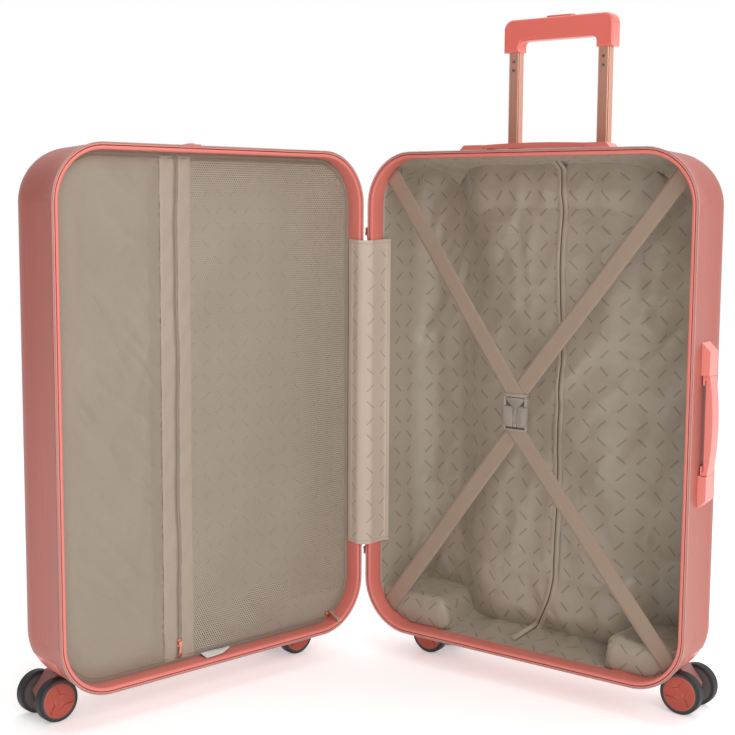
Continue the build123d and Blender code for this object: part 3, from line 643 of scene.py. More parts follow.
def cloth_area(bm):
    return sum(face.calc_area() for face in bm.faces)


def folds(x, y, length, seed):
    """Soft creases: a folded noise that is drawn out and swirled."""
    place = Vector((x / length, y / length, seed))
    swirl = noise.noise_vector(place * 0.7)
    return 1 - 2 * abs(noise.noise(place + swirl * 0.8))


noise.seed_set(fold_seed)
hard_boxes = []
margin = Vector((cloth_margin, cloth_margin, cloth_margin))
for name in ("trolley_guide_tubes", "trolley_bezel", "trolley_base"):
    low, high = box_in("main", name)
    hard_boxes.append((low - margin, high + margin))

lining_pieces = {}
for half in ("main", "lid"):
    detailed = half == "main"
    lining_bm = tray(*((150, 208) if detailed else (60, 84)), hard_boxes if detailed else [])
    lining_bm.normal_update()
    panel_uv(lining_bm)
    flat_area = cloth_area(lining_bm)
    for vert in lining_bm.verts:
        x, y, z = vert.co
        depth_share = min(max((-z - 30 * mm) / (50 * mm), 0.0), 1.0)
        low_share = min(max((rim_bottom + 0.26 - y) / 0.2, 0.0), 1.0)
        corner = min(math.hypot(x - rim_left, y - rim_bottom), math.hypot(x - rim_right, y - rim_bottom))
        corner_share = max(0.0, 1 - corner / 0.26)
        lift = 4.0 * folds(x + 0.12 * math.sin(y * 7), y * 0.22, 0.075, 3.1)
        lift += 2.6 * folds(x * 0.9 + y * 0.4, y * 0.6 - x * 0.3, 0.048, 8.4)
        lift += 0.7 * folds(x, y, 0.021, 1.4)
        top_share = min(max((y - rim_top + 0.24) / 0.16, 0.0), 1.0)
        lift += top_share * 2.6 * folds(x * 0.8 - y * 0.7, y * 0.5 + x * 0.3, 0.062, 4.9)
        lift += low_share * 4.0 * folds(x + y * 0.5, y * 0.45, 0.07, 5.7)
        side = 1 if x > rim_middle[0] else -1
        angle = math.atan2(y - rim_bottom, side * ((rim_right if side > 0 else rim_left) - x))
        lift += corner_share * 6.0 * folds(angle * 0.20, corner * 0.25, 0.085, 2.2)
        lift = max(lift, -2.0)
        vert.co += vert.normal * (lift + 2.6) * mm * depth_share
    lay(lining_bm, half)
    lining = piece(f"{half}_lining_cloth", lining_bm, lining_satin, sharp=180)
    lining_pieces[half] = (lining, flat_area)

for half, (lining, flat_area) in lining_pieces.items():
    thicken = lining.modifiers.new("cloth", "SOLIDIFY")
    thicken.thickness = lining_thick
    thicken.offset = 0.0
    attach(lining, bodies[half])
    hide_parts(f"{half}_lining")
    high = rim_top - rim_bottom + 2 * lining_depth

# Corner covers: the same satin, boxed over each wheel housing and sewn into the lining's
# bottom corners, with rounded edges and a few creases.
cover_depth = 26.3 * mm
cover_inset = 9.4 * mm
cover_length = 121.0 * mm
cover_rise = 7.0 * mm
cover_flare = 9 * mm
cover_round = 12 * mm
cover_smoothings = 4
bend_start = lining_depth - lining_bend
for half in ("main", "lid"):
    low, high = box_in(half, f"{half}_wheel_housings")
    top = high.y + cover_rise
    for name, side in (("hinge_side", -1), ("free_side", 1)):
        radius = corner_radius - cover_inset
        centre_y = rim_bottom + corner_radius
        reach = rim_middle[0] + side * ((rim_right - rim_left) / 2 - corner_radius)
        inner_x = rim_middle[0] + side * ((rim_right - rim_left) / 2 - cover_length)
        start = math.asin((centre_y - top) / radius)
        outline = [(inner_x - side * cover_flare, rim_bottom + cover_inset), (inner_x, top)]
        for step in range(13):
            angle = start + (math.pi / 2 - start) * step / 12
            outline.append((reach + side * radius * math.cos(angle), centre_y - radius * math.sin(angle)))
        cover_bm = bmesh.new()
        face = cover_bm.faces.new([cover_bm.verts.new((x, y, -cover_depth)) for x, y in outline])
        pushed = bmesh.ops.extrude_face_region(cover_bm, geom=[face])["geom"]
        bmesh.ops.translate(
            cover_bm, verts=new_parts(pushed, bmesh.types.BMVert), vec=(0, 0, cover_depth - lining_depth)
        )
        bmesh.ops.recalc_face_normals(cover_bm, faces=cover_bm.faces[:])
        rounded = [
            edge for edge in cover_bm.edges
            if all(
                abs(vert.co.y - top) < 0.1 * mm or abs(vert.co.x - inner_x) < cover_flare + 0.5 * mm
                for vert in edge.verts
            )
            and (
                all(vert.co.z > -cover_depth - 0.1 * mm for vert in edge.verts)
                or all(abs(vert.co.x - inner_x) + abs(vert.co.y - top) < 0.2 * mm for vert in edge.verts)
            )
        ]
        bmesh.ops.bevel(
            cover_bm, geom=rounded, offset=cover_round, segments=4, affect="EDGES", profile=0.5,
            material=-1,
        )
        cover = piece(f"{half}_{name}_cover_blank", cover_bm, lining_satin)
        voxels = cover.modifiers.new("voxels", "REMESH")
        voxels.mode = "VOXEL"
        voxels.voxel_size = 3.0 * mm
        cover_bm = bmesh.new()
        cover_bm.from_mesh(worked_mesh(cover))
        bpy.data.objects.remove(cover)
        for smoothing in range(cover_smoothings):
            bmesh.ops.smooth_vert(
                cover_bm, verts=cover_bm.verts[:], factor=0.5, use_axis_x=True, use_axis_y=True,
                use_axis_z=True,
            )
        cover_bm.normal_update()
        panel_uv(cover_bm)
        for vert in cover_bm.verts:
            x, y, z = vert.co
            lift = 0.5 * folds(x - z, y + z * 0.6, 0.034, 4.4)
            free = min(max((0.9 - vert.normal.z) / 0.5, 0.0), 1.0)
            lift += free * (0.8 + 3.2 * folds(x * 0.7 + y, z * 0.5, 0.055, 6.1))
            vert.co += vert.normal * lift * mm
            deep = max(-vert.co.z - bend_start, 0.0)
            least = 8 * mm - vert.co.z * wall_slope
            least += lining_bend * (1 - math.sqrt(max(0.0, 1 - (deep / (lining_bend + 6 * mm)) ** 2)))
            inset, way = rim_inset(vert.co.x, vert.co.y)
            if inset < least:
                vert.co.x += way.x * (least - inset)
                vert.co.y += way.y * (least - inset)
        lay(cover_bm, half)
        piece(f"{half}_{name}_cover", cover_bm, lining_satin, bodies[half], sharp=180)

# Wheel housings and forks: the housings are coral plastic boxes moulded up into the halves, and
# each fork is a rose plastic arm that swivels on a steel stem, coloured dark as painted shade under the case.
for half in ("main", "lid"):
    dress(coral_plastic, f"{half}_wheel_housings")
# The forks' dark rose is painted shade from the case above them.
fork_shaded_rose = moulded(
    "fork_rose_plastic_painted_shade", (0.30, 0.062, 0.048), (0.22, 0.042, 0.032), 0.45, (600.0, 600.0, 600.0),
    0.00006, wear=0.3,
)
steel = moulded(
    "bright_steel", (0.62, 0.60, 0.58), (0.50, 0.48, 0.46), 0.28, (900.0, 900.0, 900.0), 0.00003,
    metallic=1.0, wear=0.2,
)
casters = [
    (half, f"{half}_{side}_caster") for half in ("main", "lid") for side in ("hinge_side", "free_side")
]
for half, name in casters:
    dress(fork_shaded_rose, f"{name}_fork")
    dress(steel, f"{name}_stem", f"{name}_axle")

# Wheels: two rubber tyres on black plastic discs. A terracotta cap is pressed into the outer face
# of each disc, with three marks like ticks moulded into it.
tyre_black = moulded(
    "tyre_rubber", (0.012, 0.012, 0.013), (0.020, 0.020, 0.021), 0.55, (900.0, 900.0, 900.0),
    0.00006, wear=0.15,
)
black_plastic = moulded(
    "black_plastic", (0.016, 0.016, 0.017), (0.024, 0.023, 0.023), 0.48, (700.0, 700.0, 700.0),
    0.00006, wear=0.2,
)
terracotta = moulded(
    "terracotta_cap_plastic", (0.47, 0.078, 0.046), (0.39, 0.060, 0.035), 0.46, (600.0, 600.0, 600.0),
    0.00005, wear=0.3,
)
cap_radius = 22.7 * mm
tick = ((0.31, 0.88), (0.03, 0.39), (-0.43, 0.31), (-0.09, 0.45), (0.21, 0.90))
cap_bm = bmesh.new()
cap_profile = (
    (0.0, 1.0), (16.0, 1.1), (20.5, 1.15), (21.9, 0.9), (22.7, 0.2), (22.7, -0.2), (0.0, -0.2),
)
cap_verts = [cap_bm.verts.new((r * mm, 0, z * mm)) for r, z in cap_profile]
cap_edges = [cap_bm.edges.new(pair) for pair in zip(cap_verts, cap_verts[1:])]
bmesh.ops.spin(
    cap_bm, geom=cap_verts + cap_edges, cent=(0, 0, 0), axis=(0, 0, 1), angle=2 * math.pi, steps=64
)
bmesh.ops.remove_doubles(cap_bm, verts=cap_bm.verts[:], dist=0.01 * mm)
bmesh.ops.recalc_face_normals(cap_bm, faces=cap_bm.faces[:])
cut_bm = bmesh.new()
for turn in range(3):
    around = Matrix.Rotation(math.radians(120 * turn), 2)
    points = [around @ Vector(place) * (cap_radius * 0.97) for place in tick]
    face = cut_bm.faces.new([cut_bm.verts.new((*point, 0.15 * mm)) for point in points])
    pushed = bmesh.ops.extrude_face_region(cut_bm, geom=[face])["geom"]
    bmesh.ops.translate(cut_bm, verts=new_parts(pushed, bmesh.types.BMVert), vec=(0, 0, 3 * mm))
bmesh.ops.recalc_face_normals(cut_bm, faces=cut_bm.faces[:])
blanks = []
for blank_bm in (cap_bm, cut_bm):
    blank_mesh = bpy.data.meshes.new("blank")
    blank_bm.to_mesh(blank_mesh)
    blank_bm.free()
    blanks.append(bpy.data.objects.new("blank", blank_mesh))
    bpy.context.scene.collection.objects.link(blanks[-1])
cut = blanks[0].modifiers.new("ticks", "BOOLEAN")
cut.object = blanks[1]
cut.solver = "EXACT"
cap_mesh = worked_mesh(blanks[0])
for blank in blanks:
    bpy.data.objects.remove(blank)
for half, name in casters:
    dress(tyre_black, f"{name}_tyres")
    dress(black_plastic, f"{name}_hubs")
    low, high = box_in(half, f"{name}_hubs")
    centre = Vector(((low.x + high.x) / 2, (low.y + high.y) / 2, 0))
    caps_bm = bmesh.new()
    for face_z, turn in ((high.z, 0), (low.z, 180)):
        one_mesh = cap_mesh.copy()
        place = Matrix.Translation(centre + Vector((0, 0, face_z)))
        one_mesh.transform(place @ Matrix.Rotation(math.radians(turn), 4, "X"))
        caps_bm.from_mesh(one_mesh)
    lay(caps_bm, half)
    piece(f"{name}_caps", caps_bm, terracotta, name.replace("_caster", "_wheels"), sharp=30)

# Trolley: rose anodised aluminium tubes with a painted groove shadow and a painted highlight at each
# corner, steel rivets, and a coral grip bar with its release button. The bezel and the base hold the guide
# tubes.
rose_metal = moulded(
    "rose_anodised_tube", (0.72, 0.345, 0.235), (0.62, 0.285, 0.19), 0.34, (1400.0, 1400.0, 12.0),
    0.00003, metallic=0.45, wear=0.2,
)
tree = rose_metal.node_tree
shader = tree.nodes["Principled BSDF"]
# Where the surface slants round a tube corner it gets a painted groove shadow, and beside it a painted
# highlight (the pale band).
way = node(tree, "ShaderNodeSeparateXYZ", {0: node(tree, "ShaderNodeTexCoord").outputs["Normal"]})
slant = maths(tree, "MULTIPLY", way.outputs[0], way.outputs[1])
slant = maths(tree, "ABSOLUTE", slant)
painted_groove_shadow = maths(tree, "GREATER_THAN", slant, 0.44)
beside = maths(tree, "GREATER_THAN", slant, 0.30)
seen = shader.inputs["Base Color"].links[0].from_socket
seen = mixed(tree, beside, seen, (0.95, 0.60, 0.44, 1.0))
seen = mixed(tree, painted_groove_shadow, seen, (0.34, 0.12, 0.075, 1.0))
tree.links.new(seen, shader.inputs["Base Color"])
coral_glossy = moulded(
    "coral_handle_plastic", (0.84, 0.19, 0.15), (0.77, 0.155, 0.12), 0.32, (500.0, 500.0, 500.0),
    0.00004, wear=0.3, coat=0.25,
)
dress(rose_metal, "trolley_guide_tubes", "trolley_middle_tubes", "trolley_inner_tubes")
dress(steel, "trolley_rivets")
dress(coral_glossy, "trolley_grip", "trolley_button", "trolley_bezel")
dress(black_plastic, "trolley_base")

# Carry handles and lock: coral plastic grips that lift between two feet screwed to the shell,
# and a coral lock on the lid's top wall with three printed metal dials and a latch.
dress(coral_glossy, "top_handle_feet", "side_handle_feet", "top_handle_grip", "side_handle_grip")
dress(coral_plastic, "lock_body", "lock_latch")
dress(steel, "lock_dial_1", "lock_dial_2", "lock_dial_3")

# Cross straps: 25 mm polyester webbing with a ribbed face and firm edges. Each is sewn in at a
# corner of the main half and looped through a bar of the buckle, pulled tight.
strap_width = 25.0 * mm
strap_thick = 1.1 * mm
strap_inset = 9.3 * mm
anchor = 22.0 * mm
strap_front = 23.6 * mm
strap_tail = 0.02


def stitched(tree, colour, rows, thread):
    """Draws rows of stitches on a cloth: each row is an axis of the flat cloth and a place on it."""
    split = node(tree, "ShaderNodeSeparateXYZ", {0: node(tree, "ShaderNodeUVMap").outputs[0]})
    for axis, place in rows:
        away = maths(tree, "ABSOLUTE", maths(tree, "SUBTRACT", split.outputs[axis], place))
        near = maths(tree, "LESS_THAN", away, 0.00045)
        beat = maths(tree, "FRACT", maths(tree, "DIVIDE", split.outputs[1 - axis], 0.0032))
        seen = maths(tree, "MULTIPLY", near, maths(tree, "LESS_THAN", beat, 0.68))
        colour = mixed(tree, seen, colour, (*thread, 1.0))
    return colour


def webbing_finish(name, base, shade):
    """Webbing: fine ribs across, a firm edge on each side and a soft change of tone."""
    material, tree, shader = new_finish(name)
    split = node(tree, "ShaderNodeSeparateXYZ", {0: node(tree, "ShaderNodeUVMap").outputs[0]})
    ribs = maths(tree, "PINGPONG", maths(tree, "MULTIPLY", split.outputs[1], 900.0), 1.0)
    lanes = maths(tree, "PINGPONG", maths(tree, "MULTIPLY", split.outputs[0], 320.0), 1.0)
    woven = maths(tree, "MULTIPLY_ADD", ribs, 0.6, maths(tree, "MULTIPLY", lanes, 0.4))
    firm = maths(tree, "GREATER_THAN", maths(tree, "ABSOLUTE", split.outputs[0]), 0.0107)
    tone = maths(tree, "MULTIPLY_ADD", woven, 0.35, maths(tree, "MULTIPLY", firm, 0.4))
    patches = node(
        tree, "ShaderNodeTexNoise",
        {"Vector": node(tree, "ShaderNodeTexCoord").outputs["Object"], "Scale": 14.0},
    )
    tone = maths(tree, "MULTIPLY_ADD", patches.outputs[0], 0.4, tone)
    tree.links.new(mixed(tree, tone, (*base, 1.0), (*shade, 1.0)), shader.inputs["Base Color"])
    relief = node(tree, "ShaderNodeBump", {"Height": woven, "Distance": 0.00018, "Strength": 0.7})
    tree.links.new(relief.outputs[0], shader.inputs["Normal"])
    shader.inputs["Roughness"].default_value = 0.62
    shader.inputs["Sheen Weight"].default_value = 0.35
    return material


webbing = webbing_finish("strap_webbing", (0.37, 0.265, 0.192), (0.29, 0.205, 0.146))
plug_high = box_in("main", "buckle_plug")[1]
socket_low, socket_high = box_in("main", "buckle_socket")
bar_x = (socket_low.x + socket_high.x) / 2
bar_room = 3.2 * mm


def lay_flat(bm, flat):
    """Gives each vert of a cloth its place on the flat cloth, in metres."""
    layer = bm.loops.layers.uv.verify()
    for face in bm.faces:
        for loop in face.loops:
            if loop.vert in flat:
                loop[layer].uv = flat[loop.vert]


def strap_strip(bm, start, end, front):
    """Flat strip from a corner to a bar, cut level at the bar and along the rim at the corner."""
    run = (Vector(end) - Vector(start)).normalized()
    side = Vector((-run.y, run.x))
    made = bmesh.ops.create_grid(bm, x_segments=6, y_segments=70, size=1.0)["verts"]
    flat = {}
    for vert in made:
        across = vert.co.x * strap_width / 2
        last = (end[1] - start[1] - side.y * across) / run.y
        first = -strap_tail
        place = Vector(start) + side * across + run * first
        while rim_inset(place.x, place.y)[0] < strap_inset or max(
            abs(place.x - rim_middle[0]) - (rim_right - rim_left) / 2,
            abs(place.y - rim_middle[1]) - (rim_top - rim_bottom) / 2,
        ) > 0:
            first += 0.5 * mm
            place = Vector(start) + side * across + run * first
        share = (vert.co.y + 1) / 2
        along = first + (last - first) * share
        place = Vector(start) + side * across + run * along
        ripple = 0.5 * mm * math.sin(along * 31 + start[0] * 9) * math.sin(math.pi * share)
        twist = 0.035 * math.sin(math.pi * share) * across * (1 if start[1] > end[1] else -1)
        vert.co = (place.x, place.y, -front + ripple + twist)
        flat[vert] = (across, along)
    lay_flat(bm, flat)


for name, corner_y, bar_y, leading in (
    ("upper_straps", rim_top - anchor, plug_high.y - bar_room, 0),
    ("lower_straps", rim_bottom + anchor, socket_low.y + bar_room, 1),
):
    strap_bm = bmesh.new()
    for index, corner_x in enumerate((rim_left + anchor, rim_right - anchor)):
        front = strap_front + (0.0 if index == leading else strap_thick + 0.1 * mm)
        strap_strip(strap_bm, (corner_x, corner_y), (bar_x, bar_y), front)
    lay(strap_bm, "main")
    straps = piece(f"{name}_webbing", strap_bm, webbing, "main_half", (name,), sharp=60)
    thicken = straps.modifiers.new("webbing", "SOLIDIFY")
    thicken.thickness = strap_thick
    thicken.offset = 0.0

# Buckle: a side-release buckle in grey-taupe acetal. The plug's two arms and middle guide make a
# Y in the open face of the socket, and each part has a bar for its straps.
buckle_taupe = moulded(
    "buckle_taupe_plastic", (0.27, 0.225, 0.18), (0.22, 0.18, 0.143), 0.42, (600.0, 600.0, 600.0),
    0.00004, wear=0.7,
)
# A darker taupe for the buckle's hollow: painted shade.
buckle_shade_paint = moulded(
    "buckle_hollow_painted_shade", (0.15, 0.12, 0.098), (0.11, 0.088, 0.07), 0.55, (600.0, 600.0, 600.0), 0.00004,
    wear=0.0,
)


def panel(bm, outline, low, high, ease):
    """Raised plate with an outline in the half's frame and softened edges."""
    face = bm.faces.new([bm.verts.new((x, y, low)) for x, y in outline])
    pushed = bmesh.ops.extrude_face_region(bm, geom=[face])["geom"]
    moved = new_parts(pushed, bmesh.types.BMVert)
    bmesh.ops.translate(bm, verts=moved, vec=(0, 0, high - low))
    plate_faces = list(dict.fromkeys(f for vert in [*face.verts, *moved] for f in vert.link_faces))
    bmesh.ops.recalc_face_normals(bm, faces=plate_faces)
    edges = list(dict.fromkeys(edge for plate_face in plate_faces for edge in plate_face.edges))
    bmesh.ops.bevel(
        bm, geom=edges, offset=ease, segments=2, affect="EDGES", profile=0.5, material=-1
    )


def rectangle(x0, x1, y0, y1):
    return [(x0, y0), (x1, y0), (x1, y1), (x0, y1)]


half_buckle = (socket_high.x - socket_low.x) / 2
buckle_front = socket_high.z
buckle_back = socket_low.z
seam_y = socket_high.y
bar_y = plug_high.y
low_y = socket_low.y
socket_bm = bmesh.new()
panel(socket_bm, rectangle(bar_x - half_buckle + 1.0 * mm, bar_x + half_buckle - 1.0 * mm,
                           low_y + 7 * mm, seam_y),
      buckle_back, buckle_front - 2.0 * mm, 0.6 * mm)
for side in (-1, 1):
    panel(
        socket_bm,
        [(bar_x + side * 5.2 * mm, seam_y - 1.0 * mm), (bar_x + side * half_buckle, seam_y - 1.0 * mm),
         (bar_x + side * half_buckle, low_y + 12 * mm),
         (bar_x + side * (half_buckle - 4 * mm), low_y + 6 * mm),
         (bar_x + side * 3.4 * mm, low_y + 6 * mm), (bar_x + side * 3.4 * mm, seam_y - 12 * mm)],
        buckle_back + 1.0 * mm, buckle_front, 0.7 * mm,
    )
    panel(socket_bm, rectangle(bar_x + side * half_buckle - 1.5 * mm - side * 1.5 * mm,
                               bar_x + side * half_buckle + 1.5 * mm - side * 1.5 * mm,
                               low_y, low_y + 8 * mm),
          buckle_back, buckle_front - 0.6 * mm, 0.6 * mm)
panel(socket_bm, rectangle(bar_x - half_buckle + 2 * mm, bar_x + half_buckle - 2 * mm,
                           low_y, low_y + 2.6 * mm),
      buckle_back, buckle_front - 0.6 * mm, 0.8 * mm)
panel(socket_bm, rectangle(bar_x - 2.6 * mm, bar_x + 2.6 * mm, low_y + 6 * mm, low_y + 11 * mm),
      buckle_back + 1.0 * mm, buckle_front, 0.6 * mm)
lay(socket_bm, "main")
piece("buckle_socket_body", socket_bm, buckle_taupe, "main_half", ("buckle_socket",))
plug_bm = bmesh.new()
panel(plug_bm, rectangle(bar_x - half_buckle, bar_x + half_buckle, bar_y - 4.6 * mm, bar_y),
      buckle_back, buckle_front, 0.9 * mm)
for side in (-1, 1):
    panel(plug_bm, rectangle(min(bar_x + side * half_buckle, bar_x + side * (half_buckle - 3.4 * mm)),
                             max(bar_x + side * half_buckle, bar_x + side * (half_buckle - 3.4 * mm)),
                             seam_y + 0.3 * mm, bar_y - 2.0 * mm),
          buckle_back, buckle_front, 0.7 * mm)
panel(
    plug_bm,
    [(bar_x - half_buckle + 3.6 * mm, bar_y - 5.6 * mm),
     (bar_x - half_buckle + 4.2 * mm, bar_y - 9.0 * mm),
     (bar_x - 3.0 * mm, seam_y - 3 * mm), (bar_x - 1.7 * mm, seam_y - 12 * mm),
     (bar_x + 1.7 * mm, seam_y - 12 * mm), (bar_x + 3.0 * mm, seam_y - 3 * mm),
     (bar_x + half_buckle - 4.2 * mm, bar_y - 9.0 * mm),
     (bar_x + half_buckle - 3.6 * mm, bar_y - 5.6 * mm)],
    buckle_back + 1.0 * mm, buckle_front - 0.5 * mm, 0.6 * mm,
)
lay(plug_bm, "main")
piece("buckle_plug_body", plug_bm, buckle_taupe, "main_half", ("buckle_plug",))
# A dark plate laid in the hollow of the buckle is painted shade of the hollow.
well_bm = bmesh.new()
panel(well_bm, rectangle(bar_x - half_buckle + 2 * mm, bar_x + half_buckle - 2 * mm, low_y + 3 * mm,
                         bar_y - 3.2 * mm),
      buckle_back + 1.2 * mm, buckle_front - 2.6 * mm, 0.3 * mm)
lay(well_bm, "main")
piece("buckle_hollow_shade_floor", well_bm, buckle_shade_paint, "main_half")

# Lining access zip: a covered coil zip sewn into the back panel, with its two tapes puckering
# the satin beside it. It runs from the top edge down the back and curls away at the bottom.
access_place = 0.279
access_x = rim_left + access_place
access_steps = 60
access_tape = 7.5 * mm


def lining_point(x, y):
    """Front of the main half's lining at a place of its frame."""
    target = lining_pieces["main"][0]
    back = (Matrix.Translation(hinge) @ half_frames["main"]).inverted()
    start = back.inverted() @ Vector((x, y, -0.03))
    way = back.inverted() @ Vector((x, y, -0.13)) - start
    hit, point = target.ray_cast(start, way.normalized())[:2]
    return (back @ point) if hit else Vector((x, y, -0.118))


access_line = []
for count in range(access_steps + 1):
    share = count / access_steps
    y = rim_top - 14 * mm - share * (rim_top - rim_bottom - 26 * mm)
    curl = max(0.0, share - 0.87) / 0.13
    x = access_x + 1.6 * mm * math.sin(share * 21) - 42 * mm * curl ** 1.6
    access_line.append((x, y))
tape_bm = bmesh.new()
spots = [lining_point(x, y) for x, y in access_line]
rows = []
flat = {}
along = 0.0
for count, spot in enumerate(spots):
    after = spots[min(count + 1, access_steps)] - spots[max(count - 1, 0)]
    side = Vector((after.y, -after.x, 0)).normalized()
    along += (spot - spots[count - 1]).length if count else 0.0
    row = []
    for across, lift in ((-1.0, 0.6), (-0.55, 1.9), (-0.12, 1.6), (-0.1, 0.7), (0.1, 0.7), (0.12, 1.6),
                         (0.55, 1.9), (1.0, 0.6)):
        pucker = 0.55 * math.sin(along * 420 + across * 5) * abs(across)
        vert = tape_bm.verts.new(spot + side * across * access_tape + Vector((0, 0, (lift + pucker) * mm)))
        flat[vert] = (across * access_tape, along)
        row.append(vert)
    rows.append(row)
for upper_row, lower_row in zip(rows, rows[1:]):
    for left in range(len(upper_row) - 1):
        tape_bm.faces.new((upper_row[left], lower_row[left], lower_row[left + 1], upper_row[left + 1]))
lay_flat(tape_bm, flat)
lay(tape_bm, "main")
zip_cover = cloth("access_zip_satin", (0.43, 0.35, 0.265), (0.36, 0.29, 0.215), roughness=0.42)
tree = zip_cover.node_tree
shader = tree.nodes["Principled BSDF"]
split = node(tree, "ShaderNodeSeparateXYZ", {0: node(tree, "ShaderNodeUVMap").outputs[0]})
# A near-black line down the middle of the tape is painted shade in the slit between the two lips.
slit_painted_shade = maths(tree, "LESS_THAN", maths(tree, "ABSOLUTE", split.outputs[0]), 0.0008)
seen = shader.inputs["Base Color"].links[0].from_socket
tree.links.new(mixed(tree, slit_painted_shade, seen, (0.055, 0.04, 0.03, 1.0)), shader.inputs["Base Color"])
piece("lining_access_zip", tape_bm, zip_cover, "main_half", sharp=180)

# Divider: a satin panel on the free side with a zipped pocket, and net on the hinge side, all
# held by a coil zip round the edge of the lid.
panel_depth = 23.4 * mm
panel_inset = 13 * mm
band_inset = 13.5 * mm
pocket_low, pocket_high = box_in("lid", "pocket_zip")
pocket_x = (pocket_low.x + pocket_high.x) / 2
zip_gap = (pocket_high.x - pocket_low.x) / 2
pocket_tape = 20.0 * mm
divider_cloth = cloth(
    "divider_satin", (0.33, 0.275, 0.21), (0.27, 0.222, 0.166), print_share=0.04, roughness=0.40,
    sheen=0.4,
)
tape_cloth = cloth(
    "divider_tape", (0.40, 0.33, 0.258), (0.35, 0.285, 0.22), threads=900.0, roughness=0.55,
)
coil_taupe = moulded(
    "coil_nylon_taupe", (0.30, 0.235, 0.17), (0.22, 0.17, 0.12), 0.5, (900.0, 900.0, 900.0),
    0.00003, wear=0.4,
)


def cut_sheet(x0, x1, inset, columns, rows):
    """Flat cloth between two places along the half, cut to the rounded rim line."""
    bm = bmesh.new()
    bmesh.ops.create_grid(bm, x_segments=columns, y_segments=rows, size=1.0)
    moved = set()
    for vert in bm.verts:
        x = x0 + (vert.co.x + 1) / 2 * (x1 - x0)
        y = rim_bottom + inset + (vert.co.y + 1) / 2 * (rim_top - rim_bottom - 2 * inset)
        away, way = rim_inset(x, y)
        if away < inset - 0.01 * mm:
            x, y = x + way.x * (inset - away), y + way.y * (inset - away)
            moved.add(vert)
        vert.co = (x, y, 0.0)
    spent = [face for face in bm.faces if all(vert in moved for vert in face.verts)]
    bmesh.ops.delete(bm, geom=spent, context="FACES")
    lay_flat(bm, {vert: vert.co.xy for vert in bm.verts})
    return bm


def zip_wave(y):
    """How far the pocket zip stands off its straight line where the cloth pulls."""
    return 1.1 * mm * math.sin(y * 23 + 0.6) + 0.7 * mm * math.sin(y * 51)


panel_start = pocket_high.x + pocket_tape - 1.0 * mm
panel_bm = cut_sheet(panel_start, rim_right - panel_inset, panel_inset, 56, 190)
flat_panel = cloth_area(panel_bm)
for vert in panel_bm.verts:
    x, y, z = vert.co
    inner = min(rim_inset(x, y)[0] - panel_inset, x - panel_start)
    ease = min(max(inner / (22 * mm), 0.0), 1.0)
    lift = 2.4 * folds(x + y * 0.55, y * 0.5 - x * 0.2, 0.10, 1.3)
    lift += 1.2 * folds(x - y * 0.8, y * 0.6, 0.05, 7.0)
    seam = math.exp(-((x - panel_start) / (5 * mm)) ** 2)
    pucker = seam * 0.8 * math.sin(y * 640 + 2 * math.sin(y * 90))
    vert.co.z = -panel_depth + (lift * ease + 2.0 * ease + pucker) * mm
lay(panel_bm, "lid")
divider_panel = piece(
    "divider_panel_cloth", panel_bm, divider_cloth, "lid", ("divider_panel",), sharp=180
)

for name, x0, x1 in (
    ("free_side", pocket_high.x - 0.5 * mm, pocket_high.x + pocket_tape),
    ("hinge_side", pocket_low.x - pocket_tape, pocket_low.x + 0.5 * mm),
):
    band_bm = cut_sheet(x0, x1, band_inset, 10, 220)
    flat_band = cloth_area(band_bm)
    for vert in band_bm.verts:
        x, y, z = vert.co
        near_zip = 1 - abs(x - pocket_x) / (zip_gap + pocket_tape)
        hem = math.exp(-((min(x - x0, x1 - x)) / (1.3 * mm)) ** 2)
        vert.co.x += zip_wave(y) * near_zip
        vert.co.z = -panel_depth + (1.5 + 0.35 * math.sin(y * 130 + x * 300) - 0.7 * hem) * mm
    lay(band_bm, "lid")
    band = piece(f"pocket_band_{name}", band_bm, tape_cloth, "lid", sharp=180)

# Net: a knitted polyester hex net over the hinge side of the lid, bound at its edges.
net_group, given, given_out = new_group(
    "hex_net", [("Pitch", "Float"), ("Hole", "Float")], [("Thread", "Float"), ("Height", "Float")]
)
flat_place = node(net_group, "ShaderNodeUVMap").outputs[0]
split = node(net_group, "ShaderNodeSeparateXYZ", {0: flat_place})
net_x = maths(net_group, "DIVIDE", split.outputs[0], given["Pitch"])
net_y = maths(net_group, "DIVIDE", split.outputs[1], given["Pitch"])
reaches = []
for offset in (0.0, 0.5):
    shift_x = maths(net_group, "ADD", net_x, offset)
    shift_y = maths(net_group, "ADD", net_y, offset * math.sqrt(3))
    off_x = maths(net_group, "SUBTRACT", maths(net_group, "FLOORED_MODULO", shift_x, 1.0), 0.5)
    wrapped = maths(net_group, "FLOORED_MODULO", shift_y, math.sqrt(3))
    off_y = maths(net_group, "SUBTRACT", wrapped, math.sqrt(3) / 2)
    squared = maths(net_group, "MULTIPLY_ADD", off_x, off_x, maths(net_group, "MULTIPLY", off_y, off_y))
    reaches.append(maths(net_group, "SQRT", squared))
nearest = maths(net_group, "MINIMUM", *reaches)
net_group.links.new(maths(net_group, "GREATER_THAN", nearest, given["Hole"]), given_out["Thread"])
net_group.links.new(nearest, given_out["Height"])

